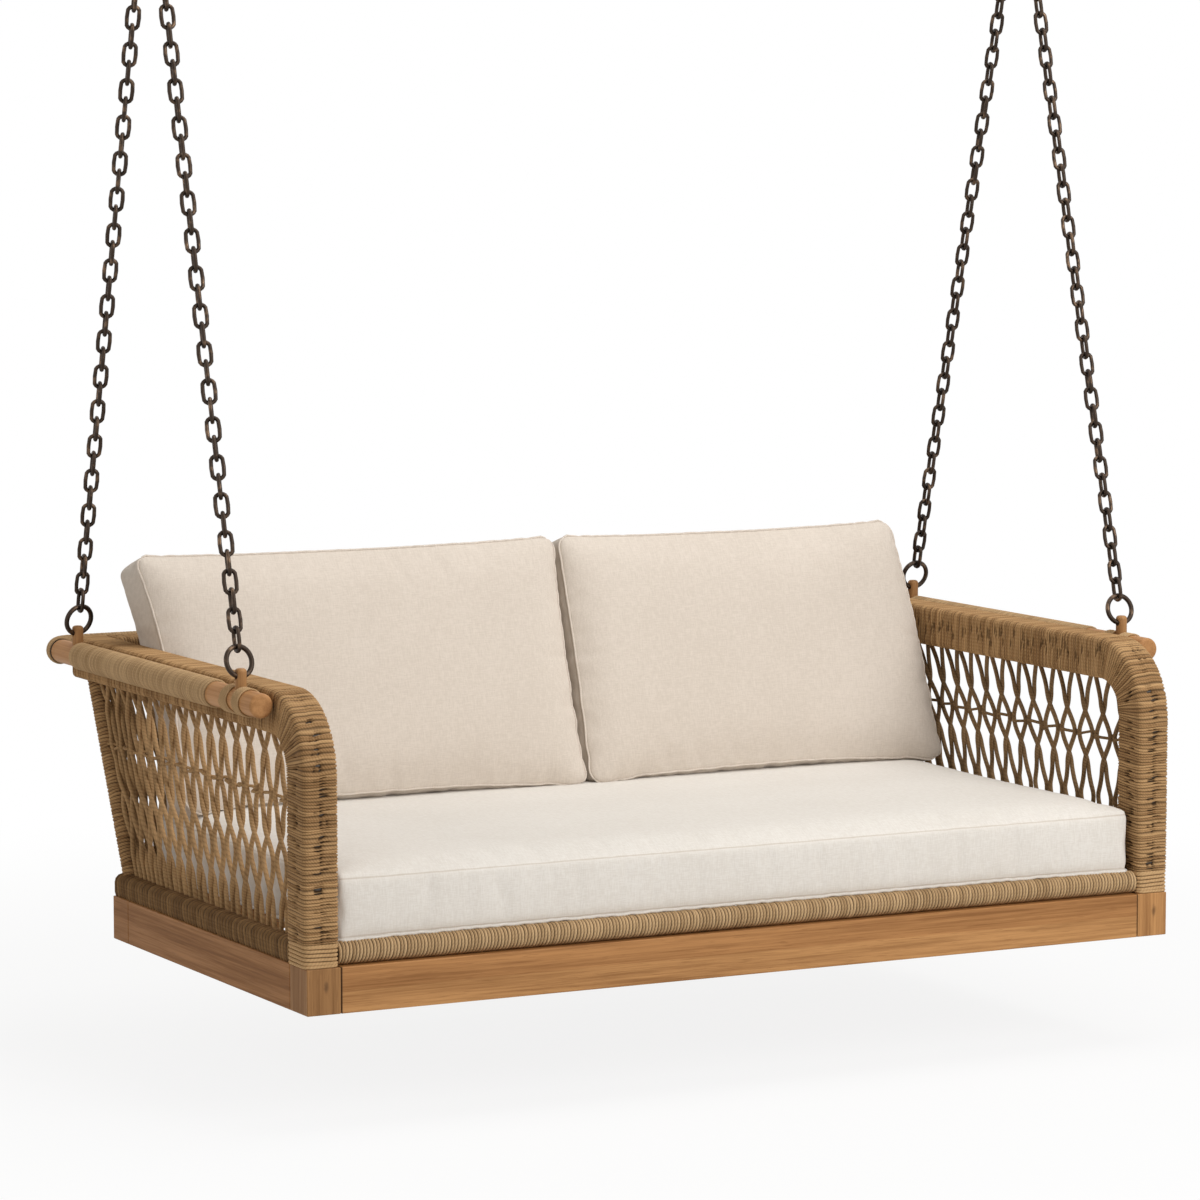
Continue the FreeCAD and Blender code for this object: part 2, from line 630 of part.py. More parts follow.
# Hanging eyes: a bushed boss on the pivot bolt, and below it a flat eye for the top ring
pivot_height = "-plate_thickness - ear_drop"
eye_height = f"{pivot_height} - eye_length"
bushes = []
for side, sign in SIDES.items():
    x = f"{sign} * {DOWEL_OFFSET}"
    boss = doc.addObject("Part::Cylinder", f"{side}_boss")
    bind(boss, Radius="boss_diameter / 2", Height="boss_length")
    place(boss, f"{x} - boss_length / 2", "0", pivot_height, ALONG_X)
    web = doc.addObject("Part::Box", f"{side}_web")
    bind(web, Length="boss_length", Width="eye_thickness", Height="eye_length")
    place(web, f"{x} - boss_length / 2", "-eye_thickness / 2", eye_height)
    lobe = doc.addObject("Part::Cylinder", f"{side}_lobe")
    bind(lobe, Radius="boss_length / 2", Height="eye_thickness")
    place(lobe, x, "-eye_thickness / 2", eye_height, ALONG_Y)
    bush_seat = doc.addObject("Part::Cylinder", f"{side}_bush_seat")
    bind(bush_seat, Radius="bush_diameter / 2", Height="2 * boss_length")
    place(bush_seat, f"{x} - boss_length", "0", pivot_height, ALONG_X)
    ring_hole = doc.addObject("Part::Cylinder", f"{side}_ring_hole")
    bind(ring_hole, Radius="eye_hole / 2", Height="2 * eye_thickness")
    place(ring_hole, x, "-eye_thickness", eye_height, ALONG_Y)
    node(cut(f"{side}_hanger_eye", fuse(f"{side}_eye_body", [boss, web, lobe]), [bush_seat, ring_hole]))
    sleeve = doc.addObject("Part::Cylinder", f"{side}_bush_body")
    bind(sleeve, Radius="bush_diameter / 2 - bush_fit", Height="boss_length")
    place(sleeve, f"{x} - boss_length / 2", "0", pivot_height, ALONG_X)
    bolt_way = doc.addObject("Part::Cylinder", f"{side}_bolt_way")
    bind(bolt_way, Radius="bolt_diameter / 2 + running_fit", Height="2 * boss_length")
    place(bolt_way, f"{x} - boss_length", "0", pivot_height, ALONG_X)
    bushes.append(cut(f"{side}_bush", sleeve, [bolt_way]))
node(group("hanger_bushes", bushes))

# Ceiling brackets: a plate with two rounded ears, and a bolt through both
ear_inside = "(boss_length / 2 + ear_gap)"
bolts = []
nuts = []
for side, sign in SIDES.items():
    x = f"{sign} * {DOWEL_OFFSET}"
    plate = doc.addObject("Part::Box", f"{side}_plate")
    bind(plate, Length="plate_width", Width="plate_length", Height="plate_thickness")
    place(plate, f"{x} - plate_width / 2", "-plate_length / 2", "-plate_thickness")
    pieces = [plate]
    for ear, at in (("outer", f"{x} + {ear_inside}"), ("inner", f"{x} - {ear_inside} - ear_thickness")):
        leaf = doc.addObject("Part::Box", f"{side}_{ear}_leaf")
        bind(leaf, Length="ear_thickness", Width="ear_width", Height="ear_drop")
        place(leaf, at, "-ear_width / 2", pivot_height)
        tip = doc.addObject("Part::Cylinder", f"{side}_{ear}_tip")
        bind(tip, Radius="ear_width / 2", Height="ear_thickness")
        place(tip, at, "0", pivot_height, ALONG_X)
        pieces += [leaf, tip]
    holes = []
    for end in (-1, 1):
        screw = doc.addObject("Part::Cylinder", f"{side}_screw_{'front' if end < 0 else 'back'}")
        bind(screw, Radius="screw_hole / 2", Height="3 * plate_thickness")
        holes.append(place(screw, x, f"{end} * screw_spacing / 2", "-2 * plate_thickness"))
    pin_way = doc.addObject("Part::Cylinder", f"{side}_pin_way")
    bind(pin_way, Radius="bolt_diameter / 2 + clearance", Height="2 * plate_width")
    holes.append(place(pin_way, f"{x} - plate_width", "0", pivot_height, ALONG_X))
    node(cut(f"{side}_hanger_bracket", fuse(f"{side}_bracket_body", pieces), holes))
    ears_out = f"{ear_inside} + ear_thickness"
    shank = doc.addObject("Part::Cylinder", f"{side}_shank")
    bind(shank, Radius="bolt_diameter / 2", Height=f"2 * ({ears_out}) + 2 * bolt_head")
    place(shank, f"{x} - ({ears_out})", "0", pivot_height, ALONG_X)
    head = doc.addObject("Part::Prism", f"{side}_head")
    head.Polygon = 6
    bind(head, Circumradius="bolt_flats_radius", Height="bolt_head")
    place(head, f"{x} - ({ears_out}) - bolt_head", "0", pivot_height, ALONG_X)
    bolts.append(fuse(f"{side}_bolt", [shank, head]))
    nut = doc.addObject("Part::Prism", f"{side}_nut_body")
    nut.Polygon = 6
    bind(nut, Circumradius="bolt_flats_radius", Height="bolt_head")
    place(nut, f"{x} + {ears_out}", "0", pivot_height, ALONG_X)
    thread = doc.addObject("Part::Cylinder", f"{side}_thread")
    bind(thread, Radius="bolt_diameter / 2 + running_fit", Height="4 * bolt_head")
    place(thread, f"{x} + {ears_out} - bolt_head", "0", pivot_height, ALONG_X)
    nuts.append(cut(f"{side}_nut", nut, [thread]))
node(group("pivot_bolts", bolts))
node(group("pivot_nuts", nuts))

# Nets: pairs of cords that cross three times on their way up, laid out as one holed sheet
CROSSING_SHARES = (1 / 6, 1 / 2, 5 / 6)
SPREAD_SHARE = 0.42


def net_gaps(columns):
    """Gaps of a net, in column and height shares: lenses inside a pair, and spindles between pairs."""
    low, middle, high = CROSSING_SHARES
    gaps = []
    for column in range(columns):
        c = column + 0.5
        s = SPREAD_SHARE
        gaps.append([(c - s, 0), (c + s, 0), (c, low)])
        gaps.append([(c, low), (c + s, 1 / 3), (c, middle), (c - s, 1 / 3)])
        gaps.append([(c, middle), (c + s, 2 / 3), (c, high), (c - s, 2 / 3)])
        gaps.append([(c, high), (c + s, 1), (c - s, 1)])
    for seam in range(1, columns):
        s = 0.5 - SPREAD_SHARE
        for base, top in ((0, 1 / 3), (1 / 3, 2 / 3), (2 / 3, 1)):
            waist = (base + top) / 2
            gaps.append([(seam + s, base), (seam + 0.5, waist), (seam + s, top),
                         (seam - s, top), (seam - 0.5, waist), (seam - s, base)])
    return gaps


def shrunk(points, inset):
    """A convex outline moved in by an inset on every side, or None where nothing is left."""
    turned = sum(a.x * b.y - a.y * b.x for a, b in zip(points, points[1:] + points[:1]))
    ring = points if turned > 0 else points[::-1]
    lines = []
    for a, b in zip(ring, ring[1:] + ring[:1]):
        along = (b - a).normalize()
        lines.append((a + Vector(-along.y, along.x) * inset, along))
    corners = []
    for (p, u), (q, v) in zip(lines[-1:] + lines[:-1], lines):
        cross = u.x * v.y - u.y * v.x
        reach = ((q.x - p.x) * v.y - (q.y - p.y) * v.x) / cross
        corners.append(p + u * reach)
    for (p, u), a, b in zip(lines, corners, corners[1:] + corners[:1]):
        if (b - a).dot(u) <= inset / 2:
            return None
    return corners


def net(frame, columns, place_at, keep):
    """A sheet of cord thickness inside a frame wire, with the net's gaps cut out."""
    wires = [frame]
    for gap in net_gaps(columns):
        corners = shrunk([place_at(c / columns, t) for c, t in gap], mm.net_cord / 2)
        if corners and keep(corners):
            wires.append(Part.makePolygon(corners + corners[:1]))
    return Part.makeFace(wires, "Part::FaceMakerBullseye").extrude(Vector(0, 0, mm.net_cord))


# Side nets: between the front post, the bend, the arm, the leaning post and the seat bar
net_low = BAR_TOP + mm.clearance
net_high = BAND_BOTTOM - mm.clearance
net_front = POST_BACK + mm.clearance
bend_centre = Vector(POST_AXIS + mm.bend_radius, ARM_AXIS - mm.bend_radius)
bend_inner = mm.bend_radius - mm.band_height / 2 - mm.clearance


def net_rear(height):
    """Y of a side net's rear edge, along the leaning post."""
    return back_plane(height) - mm.post_diameter / 2 / math.cos(BACK_LEAN) - mm.clearance


def side_net_point(s, t):
    """A place in a side net from its shares along and up."""
    height = net_low + t * (net_high - net_low)
    return Vector(net_front + s * (net_rear(height) - net_front), height)


def inside_bend(corners):
    """Whether a gap keeps clear of the rounded corner under the arm's bend."""
    beyond = [p - bend_centre for p in corners if p.x < bend_centre.x and p.y > bend_centre.y]
    return all(p.Length < bend_inner - mm.net_cord / 2 for p in beyond)


arc_start = Vector(net_front, bend_centre.y)
arc_end = Vector(bend_centre.x, net_high)
arc_middle = bend_centre + Vector(-bend_inner, bend_inner) * math.sqrt(0.5)
outline = [Vector(net_front, net_low), arc_start, arc_end, Vector(net_rear(net_high), net_high),
           Vector(net_rear(net_low), net_low)]
side_frame = Part.Wire([
    Part.makeLine(outline[0], outline[1]),
    Part.Arc(arc_start, arc_middle, arc_end).toShape(),
    Part.makeLine(outline[2], outline[3]),
    Part.makeLine(outline[3], outline[4]),
    Part.makeLine(outline[4], outline[0]),
])
side_columns = round((net_rear((net_low + net_high) / 2) - net_front) / mm.net_pitch)
side_sheet = net(side_frame, side_columns, side_net_point, inside_bend)
half_sunk = Placement(Vector(0, 0, -mm.net_cord / 2), UPRIGHT)
facing_side = Rotation(Vector(0, 1, 0), Vector(0, 0, 1), Vector(1, 0, 0), "ZXY")
for side, sign in SIDES.items():
    at = Placement(Vector(sign * arm_centre, 0, 0), facing_side)
    node(feature(f"{side}_net", side_sheet, SEAT_FRAME * at * half_sunk))

# Back net: in the leaning plane, between the posts, the back bar and the back band
back_half = arm_centre - mm.post_diameter / 2 - mm.clearance
edge_rise = mm.net_cord / 2 * math.sin(BACK_LEAN)
back_low = net_low + edge_rise
back_tall = (net_high - edge_rise - back_low) / math.cos(BACK_LEAN)
back_columns = round(2 * back_half / mm.net_pitch)


def back_net_point(s, t):
    """A place in the back net from its shares along and up."""
    return Vector(-back_half + 2 * back_half * s, t * back_tall)


back_corners = [back_net_point(s, t) for s, t in ((0, 0), (1, 0), (1, 1), (0, 1), (0, 0))]
back_sheet = net(Part.makePolygon(back_corners), back_columns, back_net_point, bool)
lean_turn = Rotation(Vector(1, 0, 0), 90 - math.degrees(BACK_LEAN))
at = Placement(Vector(0, back_plane(back_low), back_low), lean_turn)
node(feature("back_net", back_sheet, SEAT_FRAME * at * half_sunk))

# Cushions: crowned between their seams, with the long sides drawn in towards the middle
LENGTH_SHARES = (0, 0.12, 0.5, 0.88, 1)
SWELL_SHARES = (0.2, 0.8, 1, 0.8, 0.2)


def cushion(wide, deep, thick, crown, under_crown):
    """A cushion about X = 0 that runs in Y from 0 and in Z from 0."""
    sections = []
    for share, swell in zip(LENGTH_SHARES, SWELL_SHARES):
        half = wide / 2 - mm.cushion_draw_in * swell
        out = half + mm.cushion_side_swell * swell
        y = deep * share
        low_left, low_right = Vector(-half, y, 0), Vector(half, y, 0)
        high_left, high_right = Vector(-half, y, thick), Vector(half, y, thick)
        if under_crown:
            under = Part.Arc(low_left, Vector(0, y, -under_crown * swell), low_right).toShape()
        else:
            under = Part.makeLine(low_left, low_right)
        sections.append(Part.Wire([
            under,
            Part.Arc(low_right, Vector(out, y, thick / 2), high_right).toShape(),
            Part.Arc(high_right, Vector(0, y, thick + crown * swell), high_left).toShape(),
            Part.Arc(high_left, Vector(-out, y, thick / 2), low_left).toShape(),
        ]))
    return Part.makeLoft(sections, True, False)


seat_low = BAR_TOP + mm.clearance
seat_wide = 2 * (ARM_INNER - mm.cushion_side_gap)
seat_deep = mm.plinth_depth - mm.seat_cushion_front - mm.seat_cushion_rear
seat_pad = cushion(seat_wide, seat_deep, mm.seat_cushion_thickness, mm.seat_crown, 0)
at = Placement(Vector(0, mm.seat_cushion_front, seat_low), UPRIGHT)
node(feature("seat_cushion", seat_pad, SEAT_FRAME * at))

# Back cushions lean back, and their undersides follow the seat cushion's crown
seat_top = seat_low + mm.seat_cushion_thickness
lean = math.radians(mm.back_cushion_lean)
thick = mm.back_cushion_thickness
back_front = mm.plinth_depth - mm.back_cushion_setback
low_back = Vector(0, back_front + thick * math.cos(lean), seat_top - thick * math.sin(lean))
back_wide = (seat_wide - mm.back_cushion_gap) / 2
back_pad = cushion(back_wide, mm.back_cushion_height, thick, mm.back_crown, mm.back_crown)
back_pad.Placement = Placement(low_back, Rotation(Vector(1, 0, 0), 90 - mm.back_cushion_lean))
room = mm.back_cushion_height + back_wide
above_seat = Part.makeBox(2 * room, 2 * room, room, Vector(-room, low_back.y - room, seat_top))
seat_pad.Placement = Placement(Vector(0, mm.seat_cushion_front, seat_low + mm.clearance), UPRIGHT)
for side, sign in SIDES.items():
    x = sign * (back_wide + mm.back_cushion_gap) / 2
    standing = back_pad.common(above_seat).translated(Vector(x, 0, 0)).cut(seat_pad)
    node(feature(f"{side}_back_cushion", standing))

# Every object is checked before a file is written
doc.recompute()
for thing in doc.Objects:
    if "Invalid" in thing.State or "Error" in thing.State:
        raise RuntimeError(f"{thing.Label}: {thing.State}")
for thing in nodes:
    if thing.Shape.isNull() or not thing.Shape.isValid():
        raise RuntimeError(f"{thing.Label}: shape isn't valid")

os.makedirs("parts", exist_ok=True)
for thing in nodes:
    thing.Shape.exportStep(f"parts/{thing.Label}.step")
print(f"{len(nodes)} sub-parts written")
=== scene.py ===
import random
from math import atan2, copysign, cos, exp, pi, radians, sin, sqrt, tanh, tau

import bmesh
import bpy
from mathutils import Matrix, Vector, noise


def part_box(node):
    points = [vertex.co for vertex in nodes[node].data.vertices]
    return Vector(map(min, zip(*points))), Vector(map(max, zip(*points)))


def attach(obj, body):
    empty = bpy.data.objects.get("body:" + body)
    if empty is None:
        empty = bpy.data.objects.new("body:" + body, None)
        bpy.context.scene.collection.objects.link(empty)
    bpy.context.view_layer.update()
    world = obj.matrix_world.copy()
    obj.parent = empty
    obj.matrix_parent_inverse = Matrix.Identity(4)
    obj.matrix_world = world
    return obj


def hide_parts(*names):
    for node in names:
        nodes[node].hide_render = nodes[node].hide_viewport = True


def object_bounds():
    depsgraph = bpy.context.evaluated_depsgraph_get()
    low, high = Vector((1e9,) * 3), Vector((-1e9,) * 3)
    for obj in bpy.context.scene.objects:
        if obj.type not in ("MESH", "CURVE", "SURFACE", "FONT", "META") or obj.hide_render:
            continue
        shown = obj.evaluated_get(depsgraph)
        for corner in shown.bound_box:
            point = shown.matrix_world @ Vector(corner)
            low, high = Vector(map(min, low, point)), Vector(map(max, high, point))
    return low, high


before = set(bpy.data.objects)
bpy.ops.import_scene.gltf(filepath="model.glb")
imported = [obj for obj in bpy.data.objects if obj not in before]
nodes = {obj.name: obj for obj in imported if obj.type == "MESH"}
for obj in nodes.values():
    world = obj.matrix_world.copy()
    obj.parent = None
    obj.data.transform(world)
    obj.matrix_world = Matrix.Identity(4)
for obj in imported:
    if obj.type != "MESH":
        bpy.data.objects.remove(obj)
cad_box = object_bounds()

# Teak plinth: rails glued up from two boards each, between upright corner blocks, planed, eased
# along the edges and oiled. The grain runs along each rail and up each block.
SIDES = {"left": -1, "right": 1}


def feed(tree, socket, value):
    """Sets a socket, or links it where the value comes from another node."""
    if isinstance(value, bpy.types.NodeSocket):
        tree.links.new(value, socket)
    else:
        socket.default_value = (*value, 1) if socket.type == "RGBA" else value


def supply(tree, made, **inputs):
    """Feeds a node's inputs by name."""
    for key, value in inputs.items():
        feed(tree, made.inputs[key.replace("_", " ")], value)


def add(tree, kind, settings=None, **inputs):
    """A node with its settings and its inputs."""
    made = tree.nodes.new(f"ShaderNode{kind}")
    for key, value in (settings or {}).items():
        setattr(made, key, value)
    supply(tree, made, **inputs)
    return made


def sum_up(tree, operation, *values):
    """The output of a Math node."""
    made = add(tree, "Math", {"operation": operation})
    for socket, value in zip(made.inputs, values):
        feed(tree, socket, value)
    return made.outputs[0]


def weighed(tree, *pairs):
    """The sum of some values, each times its weight."""
    total = 0.0
    for value, weight in pairs:
        total = sum_up(tree, "MULTIPLY_ADD", value, weight, total)
    return total


def tint(tree, factor, first, second, mode="MIX"):
    """The output of a colour Mix node."""
    made = add(tree, "Mix", {"data_type": "RGBA", "blend_type": mode})
    for number, value in ((0, factor), (6, first), (7, second)):
        feed(tree, made.inputs[number], value)
    return made.outputs[2]


def graded(tree, value, low, high, start=0.0, end=1.0):
    """A value eased from one range to another."""
    return add(tree, "MapRange", {"interpolation_type": "SMOOTHSTEP"}, Value=value, From_Min=low,
               From_Max=high, To_Min=start, To_Max=end).outputs[0]


def spots(tree):
    """The places on a piece."""
    return add(tree, "TexCoord").outputs["Object"]


def drawn_out(tree, place, scale):
    """Places scaled along each axis."""
    return add(tree, "Mapping", Vector=place, Scale=scale).outputs[0]


def clouded(tree, place, scale, detail=2.0, **more):
    """The value of a noise texture."""
    return add(tree, "TexNoise", Vector=place, Scale=scale, Detail=detail, **more).outputs["Fac"]


def new_group(name, more=()):
    """An empty group that makes a colour, a roughness and a height from a place, two colours and values."""
    tree = bpy.data.node_groups.new(name, "ShaderNodeTree")
    sockets = [("Vector", "INPUT", "Vector"), ("Light", "INPUT", "Color"), ("Dark", "INPUT", "Color")]
    sockets += [(label, "INPUT", "Float") for label in more]
    sockets += [("Color", "OUTPUT", "Color"), ("Roughness", "OUTPUT", "Float"), ("Height", "OUTPUT", "Float")]
    for label, way, kind in sockets:
        tree.interface.new_socket(label, in_out=way, socket_type=f"NodeSocket{kind}")
    return tree, tree.nodes.new("NodeGroupInput").outputs, tree.nodes.new("NodeGroupOutput")


def new_finish(name):
    """A material with its tree and its Principled shader."""
    made = bpy.data.materials.new(name)
    made.use_nodes = True
    return made, made.node_tree, made.node_tree.nodes["Principled BSDF"]


def raised(tree, shader, height, strength, distance):
    """Bump from a height that changes over the surface."""
    bump = add(tree, "Bump", Height=height, Strength=strength, Distance=distance)
    supply(tree, shader, Normal=bump.outputs[0])


teak_grain, given, result = new_group("teak_grain")
# the broad figure, the growth lines, the fibre and the open pores, all drawn out along the grain
figure, lines, fibre, pores = (
    clouded(teak_grain, drawn_out(teak_grain, given["Vector"], (along, across, across)), scale, detail,
            Roughness=rough, Distortion=bent)
    for along, across, scale, detail, rough, bent in (
        (0.55, 15.0, 2.2, 5.0, 0.55, 0.25), (1.6, 75.0, 2.4, 4.0, 0.5, 0.15),
        (7.0, 330.0, 2.0, 3.0, 0.5, 0.0), (24.0, 520.0, 1.0, 1.0, 0.5, 0.0)))
pores = graded(teak_grain, pores, 0.62, 0.74)
tone = graded(teak_grain, weighed(teak_grain, (figure, 0.5), (lines, 0.38), (fibre, 0.22)), 0.36, 0.72)
plain = tint(teak_grain, tone, given["Dark"], given["Light"])
supply(teak_grain, result, Color=tint(teak_grain, weighed(teak_grain, (pores, 0.45)), plain, given["Dark"]),
       Roughness=graded(teak_grain, tone, 0.0, 1.0, 0.62, 0.5),
       Height=weighed(teak_grain, (fibre, 0.5), (pores, -1.0)))

TEAK_LIGHT = (0.53, 0.272, 0.102)
TEAK_DARK = (0.25, 0.11, 0.034)
# the side rails and back blocks: the same teak painted darker, as painted shade on the sides
PAINTED_SHADE_SIDE_TEAK = ((0.385, 0.173, 0.051), (0.18, 0.073, 0.019))
ALONG = {"X": (0, 0, 0), "Y": (0, 0, pi / 2), "Z": (0, pi / 2, 0)}
grain_relief = 0.0006


def teak(name, grain, shift, light=TEAK_LIGHT, dark=TEAK_DARK):
    """Oiled teak whose grain runs along one axis; a shift makes each board its own."""
    made, tree, shader = new_finish(name)
    place = spots(tree)
    turned = add(tree, "Mapping", Vector=place, Rotation=ALONG[grain], Location=shift).outputs[0]
    wood = add(tree, "Group", {"node_tree": teak_grain}, Vector=turned, Light=light, Dark=dark).outputs
    supply(tree, shader, Base_Color=wood["Color"], Roughness=wood["Roughness"], Specular_IOR_Level=0.2)
    raised(tree, shader, wood["Height"], 0.25, grain_relief)
    return made, tree, shader, wood["Color"], place


def wear(node, material):
    """Gives a CAD node its finish."""
    nodes[node].data.materials.clear()
    nodes[node].data.materials.append(material)


glue_line, joint_start, joint_end = 0.0008, 0.0032, 0.0014
for number, node in enumerate(("front_rail", "back_rail")):
    low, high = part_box(node)
    made, tree, shader, wood, place = teak(f"{node}_teak", "X", (0.37 * number, 1.7 * number, 0.4))
    spot = add(tree, "SeparateXYZ", Vector=place).outputs
    # the upper board is a shade darker than the lower
    glue = (low.z + high.z) / 2
    upper = graded(tree, spot["Z"], glue - glue_line, glue + glue_line, 0.0, 0.6)
    boards = tint(tree, upper, wood, (0.78, 0.69, 0.62), "MULTIPLY")
    # the open joints at its ends are dark
    length = sum_up(tree, "ABSOLUTE", spot["X"])
    joint = graded(tree, length, high.x - joint_start, high.x - joint_end, 0.0, 0.85)
    supply(tree, shader, Base_Color=tint(tree, joint, boards, (0.03, 0.014, 0.006)))
    wear(node, made)
# painted shade: the side rails and the back blocks wear darker teak than the front, for the shade on the
# sides
for number, side in enumerate(SIDES):
    painted_shade_side_teak = teak(f"{side}_side_rail_teak", "Y", (0.9 + number, 0.3, 0.7), *PAINTED_SHADE_SIDE_TEAK)[0]
    wear(f"{side}_side_rail", painted_shade_side_teak)
    wear(f"back_{side}_block", painted_shade_side_teak)
knot_shift, knot_core, knot_edge, knot_wobble = Vector((0.004, 0, 0.008)), 0.003, 0.0095, 0.005
# painted shade: the left block's teak is painted a shade darker (0.68 of the right block's), for the lesser
# light on the left
for number, (node, shade) in enumerate((("front_left_block", 0.68), ("front_right_block", 1.0))):
    made, tree, shader, wood, place = teak(
        f"{node}_teak", "Z", (1.3 * number, 0.8, 0.55 * number), [shade * value for value in TEAK_LIGHT],
        [shade * value for value in TEAK_DARK])
    # one soft dark knot on the front face, drawn out along the grain
    low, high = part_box(node)
    middle = (low + high) / 2
    offset = add(tree, "VectorMath", {"operation": "SUBTRACT"}, Vector=place)
    offset.inputs[1].default_value = Vector((middle.x, low.y, middle.z)) + knot_shift
    reach = add(tree, "VectorMath", {"operation": "LENGTH"},
                Vector=drawn_out(tree, offset.outputs["Vector"], (1.0, 0.5, 0.45))).outputs["Value"]
    around = weighed(tree, (reach, 1.0), (clouded(tree, place, 120.0), knot_wobble))
    spot = graded(tree, around, knot_core, knot_edge, 0.65, 0.0)
    supply(tree, shader, Base_Color=tint(tree, spot, wood, (0.075, 0.034, 0.014)))
    wear(node, made)

# Seat slats on two bearers: plain planed teak boards between the rails, screwed down out of sight
# under the cushion, with gaps between them for air.
wear("seat_slats", teak("slat_teak", "Y", (0.2, 0.9, 0.1))[0])
wear("slat_bearers", teak("bearer_teak", "X", (0.6, 0.2, 0.8))[0])

# Seat bars: aluminium tubes bound turn by turn with twisted paper-like rope, and laid on the plinth.
# Each turn stands up as a small ridge beside the next. The side bars are pressed flat.
rope_cord, given, result = new_group("rope_cord", ("Furrow", "Strands"))
parts = add(rope_cord, "SeparateXYZ", Vector=given["Vector"]).outputs
across = sum_up(rope_cord, "SUBTRACT", sum_up(rope_cord, "FRACT", parts["Y"]), 0.5)
own = add(rope_cord, "TexWhiteNoise", {"noise_dimensions": "1D"},
          W=sum_up(rope_cord, "FLOOR", parts["Y"])).outputs["Value"]
lay = weighed(rope_cord, (parts["X"], 0.9), (across, given["Strands"]))
strand = sum_up(rope_cord, "ABSOLUTE", sum_up(rope_cord, "SINE", weighed(rope_cord, (lay, pi))))
hair = clouded(rope_cord, drawn_out(rope_cord, given["Vector"], (1.3, 9.0, 1.0)), 3.0, 4.0)
patch = clouded(rope_cord, spots(rope_cord), 9.0, 3.0)
# painted shade: the furrows between the turns and the sunk openings are darkened toward a near-black brown
furrow_shade = graded(rope_cord, sum_up(rope_cord, "ABSOLUTE", across), 0.24, 0.5)
furrow_shade = weighed(rope_cord, (furrow_shade, given["Furrow"]))
hollow_shade = add(rope_cord, "Attribute", {"attribute_name": "hollow_shade"}).outputs["Fac"]
painted_groove_shade = sum_up(rope_cord, "MAXIMUM", furrow_shade, graded(rope_cord, hollow_shade, 0.15, 0.85))
shade = weighed(rope_cord, (own, 0.34), (hair, 0.55), (patch, 0.45), (strand, 0.18))
cord_tone = tint(rope_cord, graded(rope_cord, shade, 0.36, 1.1), given["Dark"], given["Light"])
supply(rope_cord, result, Color=tint(rope_cord, painted_groove_shade, cord_tone, (0.048, 0.026, 0.011)),
       Roughness=graded(rope_cord, hair, 0.2, 0.8, 0.72, 0.9),
       Height=weighed(rope_cord, (strand, 0.7), (hair, 0.4)))

ROPE_LIGHT = (0.52, 0.318, 0.148)
ROPE_DARK = (0.19, 0.095, 0.034)
rope_relief = 0.0008


def rope(name, furrow_shade, strands, light=ROPE_LIGHT, dark=ROPE_DARK):
    """Twisted rope, matte, on a UV map that counts cord widths along and turns across; furrow weighs the
    painted shade in its furrows.
    """
    made, tree, shader = new_finish(name)
    place = add(tree, "UVMap", {"uv_map": "UVMap"}).outputs["UV"]
    cord = add(tree, "Group", {"node_tree": rope_cord}, Vector=place, Light=light, Dark=dark,
               Furrow=furrow_shade, Strands=strands).outputs
    supply(tree, shader, Base_Color=cord["Color"], Roughness=cord["Roughness"], Specular_IOR_Level=0.18)
    raised(tree, shader, cord["Height"], 0.5, rope_relief)
    return made


# painted shade: the side bars' rope is the bar rope painted much darker, for the shade on the sides
painted_shade_side_rope = rope("painted_shade_side_rope", 0.95, 1.0, (0.255, 0.146, 0.060), (0.10, 0.049, 0.017))
bar_rope = rope("bar_rope", 0.95, 1.0, (0.58, 0.395, 0.215), (0.33, 0.205, 0.098))
scene = bpy.context.scene


def placed(name, data):
    """An object of a mesh, a curve, a lamp or a camera."""
    made = bpy.data.objects.new(name, data)
    scene.collection.objects.link(made)
    return made


def settle(name, bm, material):
    """A smooth object of a mesh, with its finish."""
    mesh = bpy.data.meshes.new(name)
    bm.to_mesh(mesh)
    bm.free()
    mesh.shade_smooth()
    mesh.materials.append(material)
    return placed(name, mesh)


def show(name, bm, material, node=None, body="seat"):
    """A finished piece, with the node it stands for and the body it moves with."""
    piece = settle(name, bm, material)
    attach(piece, body)
    if node:
        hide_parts(node)


def turned_by(spot):
    """How far round an outline a place lies."""
    return atan2(spot[0].y, spot[0].x)


def round_outline(radius, points):
    """The places round a circle, each with its outward direction."""
    bm = bmesh.new()
    bmesh.ops.create_circle(bm, segments=points, radius=radius)
    around = [(vert.co.copy(), vert.co.normalized()) for vert in bm.verts]
    bm.free()
    return sorted(around, key=turned_by)


def band_outline(wide, high, corner):
    """The places round a rounded rectangle, each with its outward direction."""
    bm = bmesh.new()
    bmesh.ops.create_grid(bm, x_segments=1, y_segments=1, size=0.5)
    bmesh.ops.scale(bm, vec=(wide, high, 1), verts=bm.verts)
    bmesh.ops.bevel(bm, geom=bm.verts[:], offset=corner, offset_type="OFFSET", segments=3, profile=0.5,
                    affect="VERTICES", material=-1)
    bmesh.ops.delete(bm, geom=bm.faces[:], context="FACES_ONLY")
    sides = [edge for edge in bm.edges if edge.calc_length() > corner]
    bmesh.ops.subdivide_edges(bm, edges=sides, cuts=7)
    around = []
    for vert in bm.verts:
        heart = Vector((max(corner - wide / 2, min(wide / 2 - corner, vert.co.x)),
                        max(corner - high / 2, min(high / 2 - corner, vert.co.y)), 0))
        around.append((vert.co.copy(), (vert.co - heart).normalized()))
    bm.free()
    return sorted(around, key=turned_by)


ROW_SHARES = (1.0, 0.27, 0.0, 0.27)
lean_share, bow_share, swell_share = 0.28, 0.2, 0.4
plain_ridge, plain_close, hollow_depth, weld = 0.0026, 0.005, 0.006, 0.00001


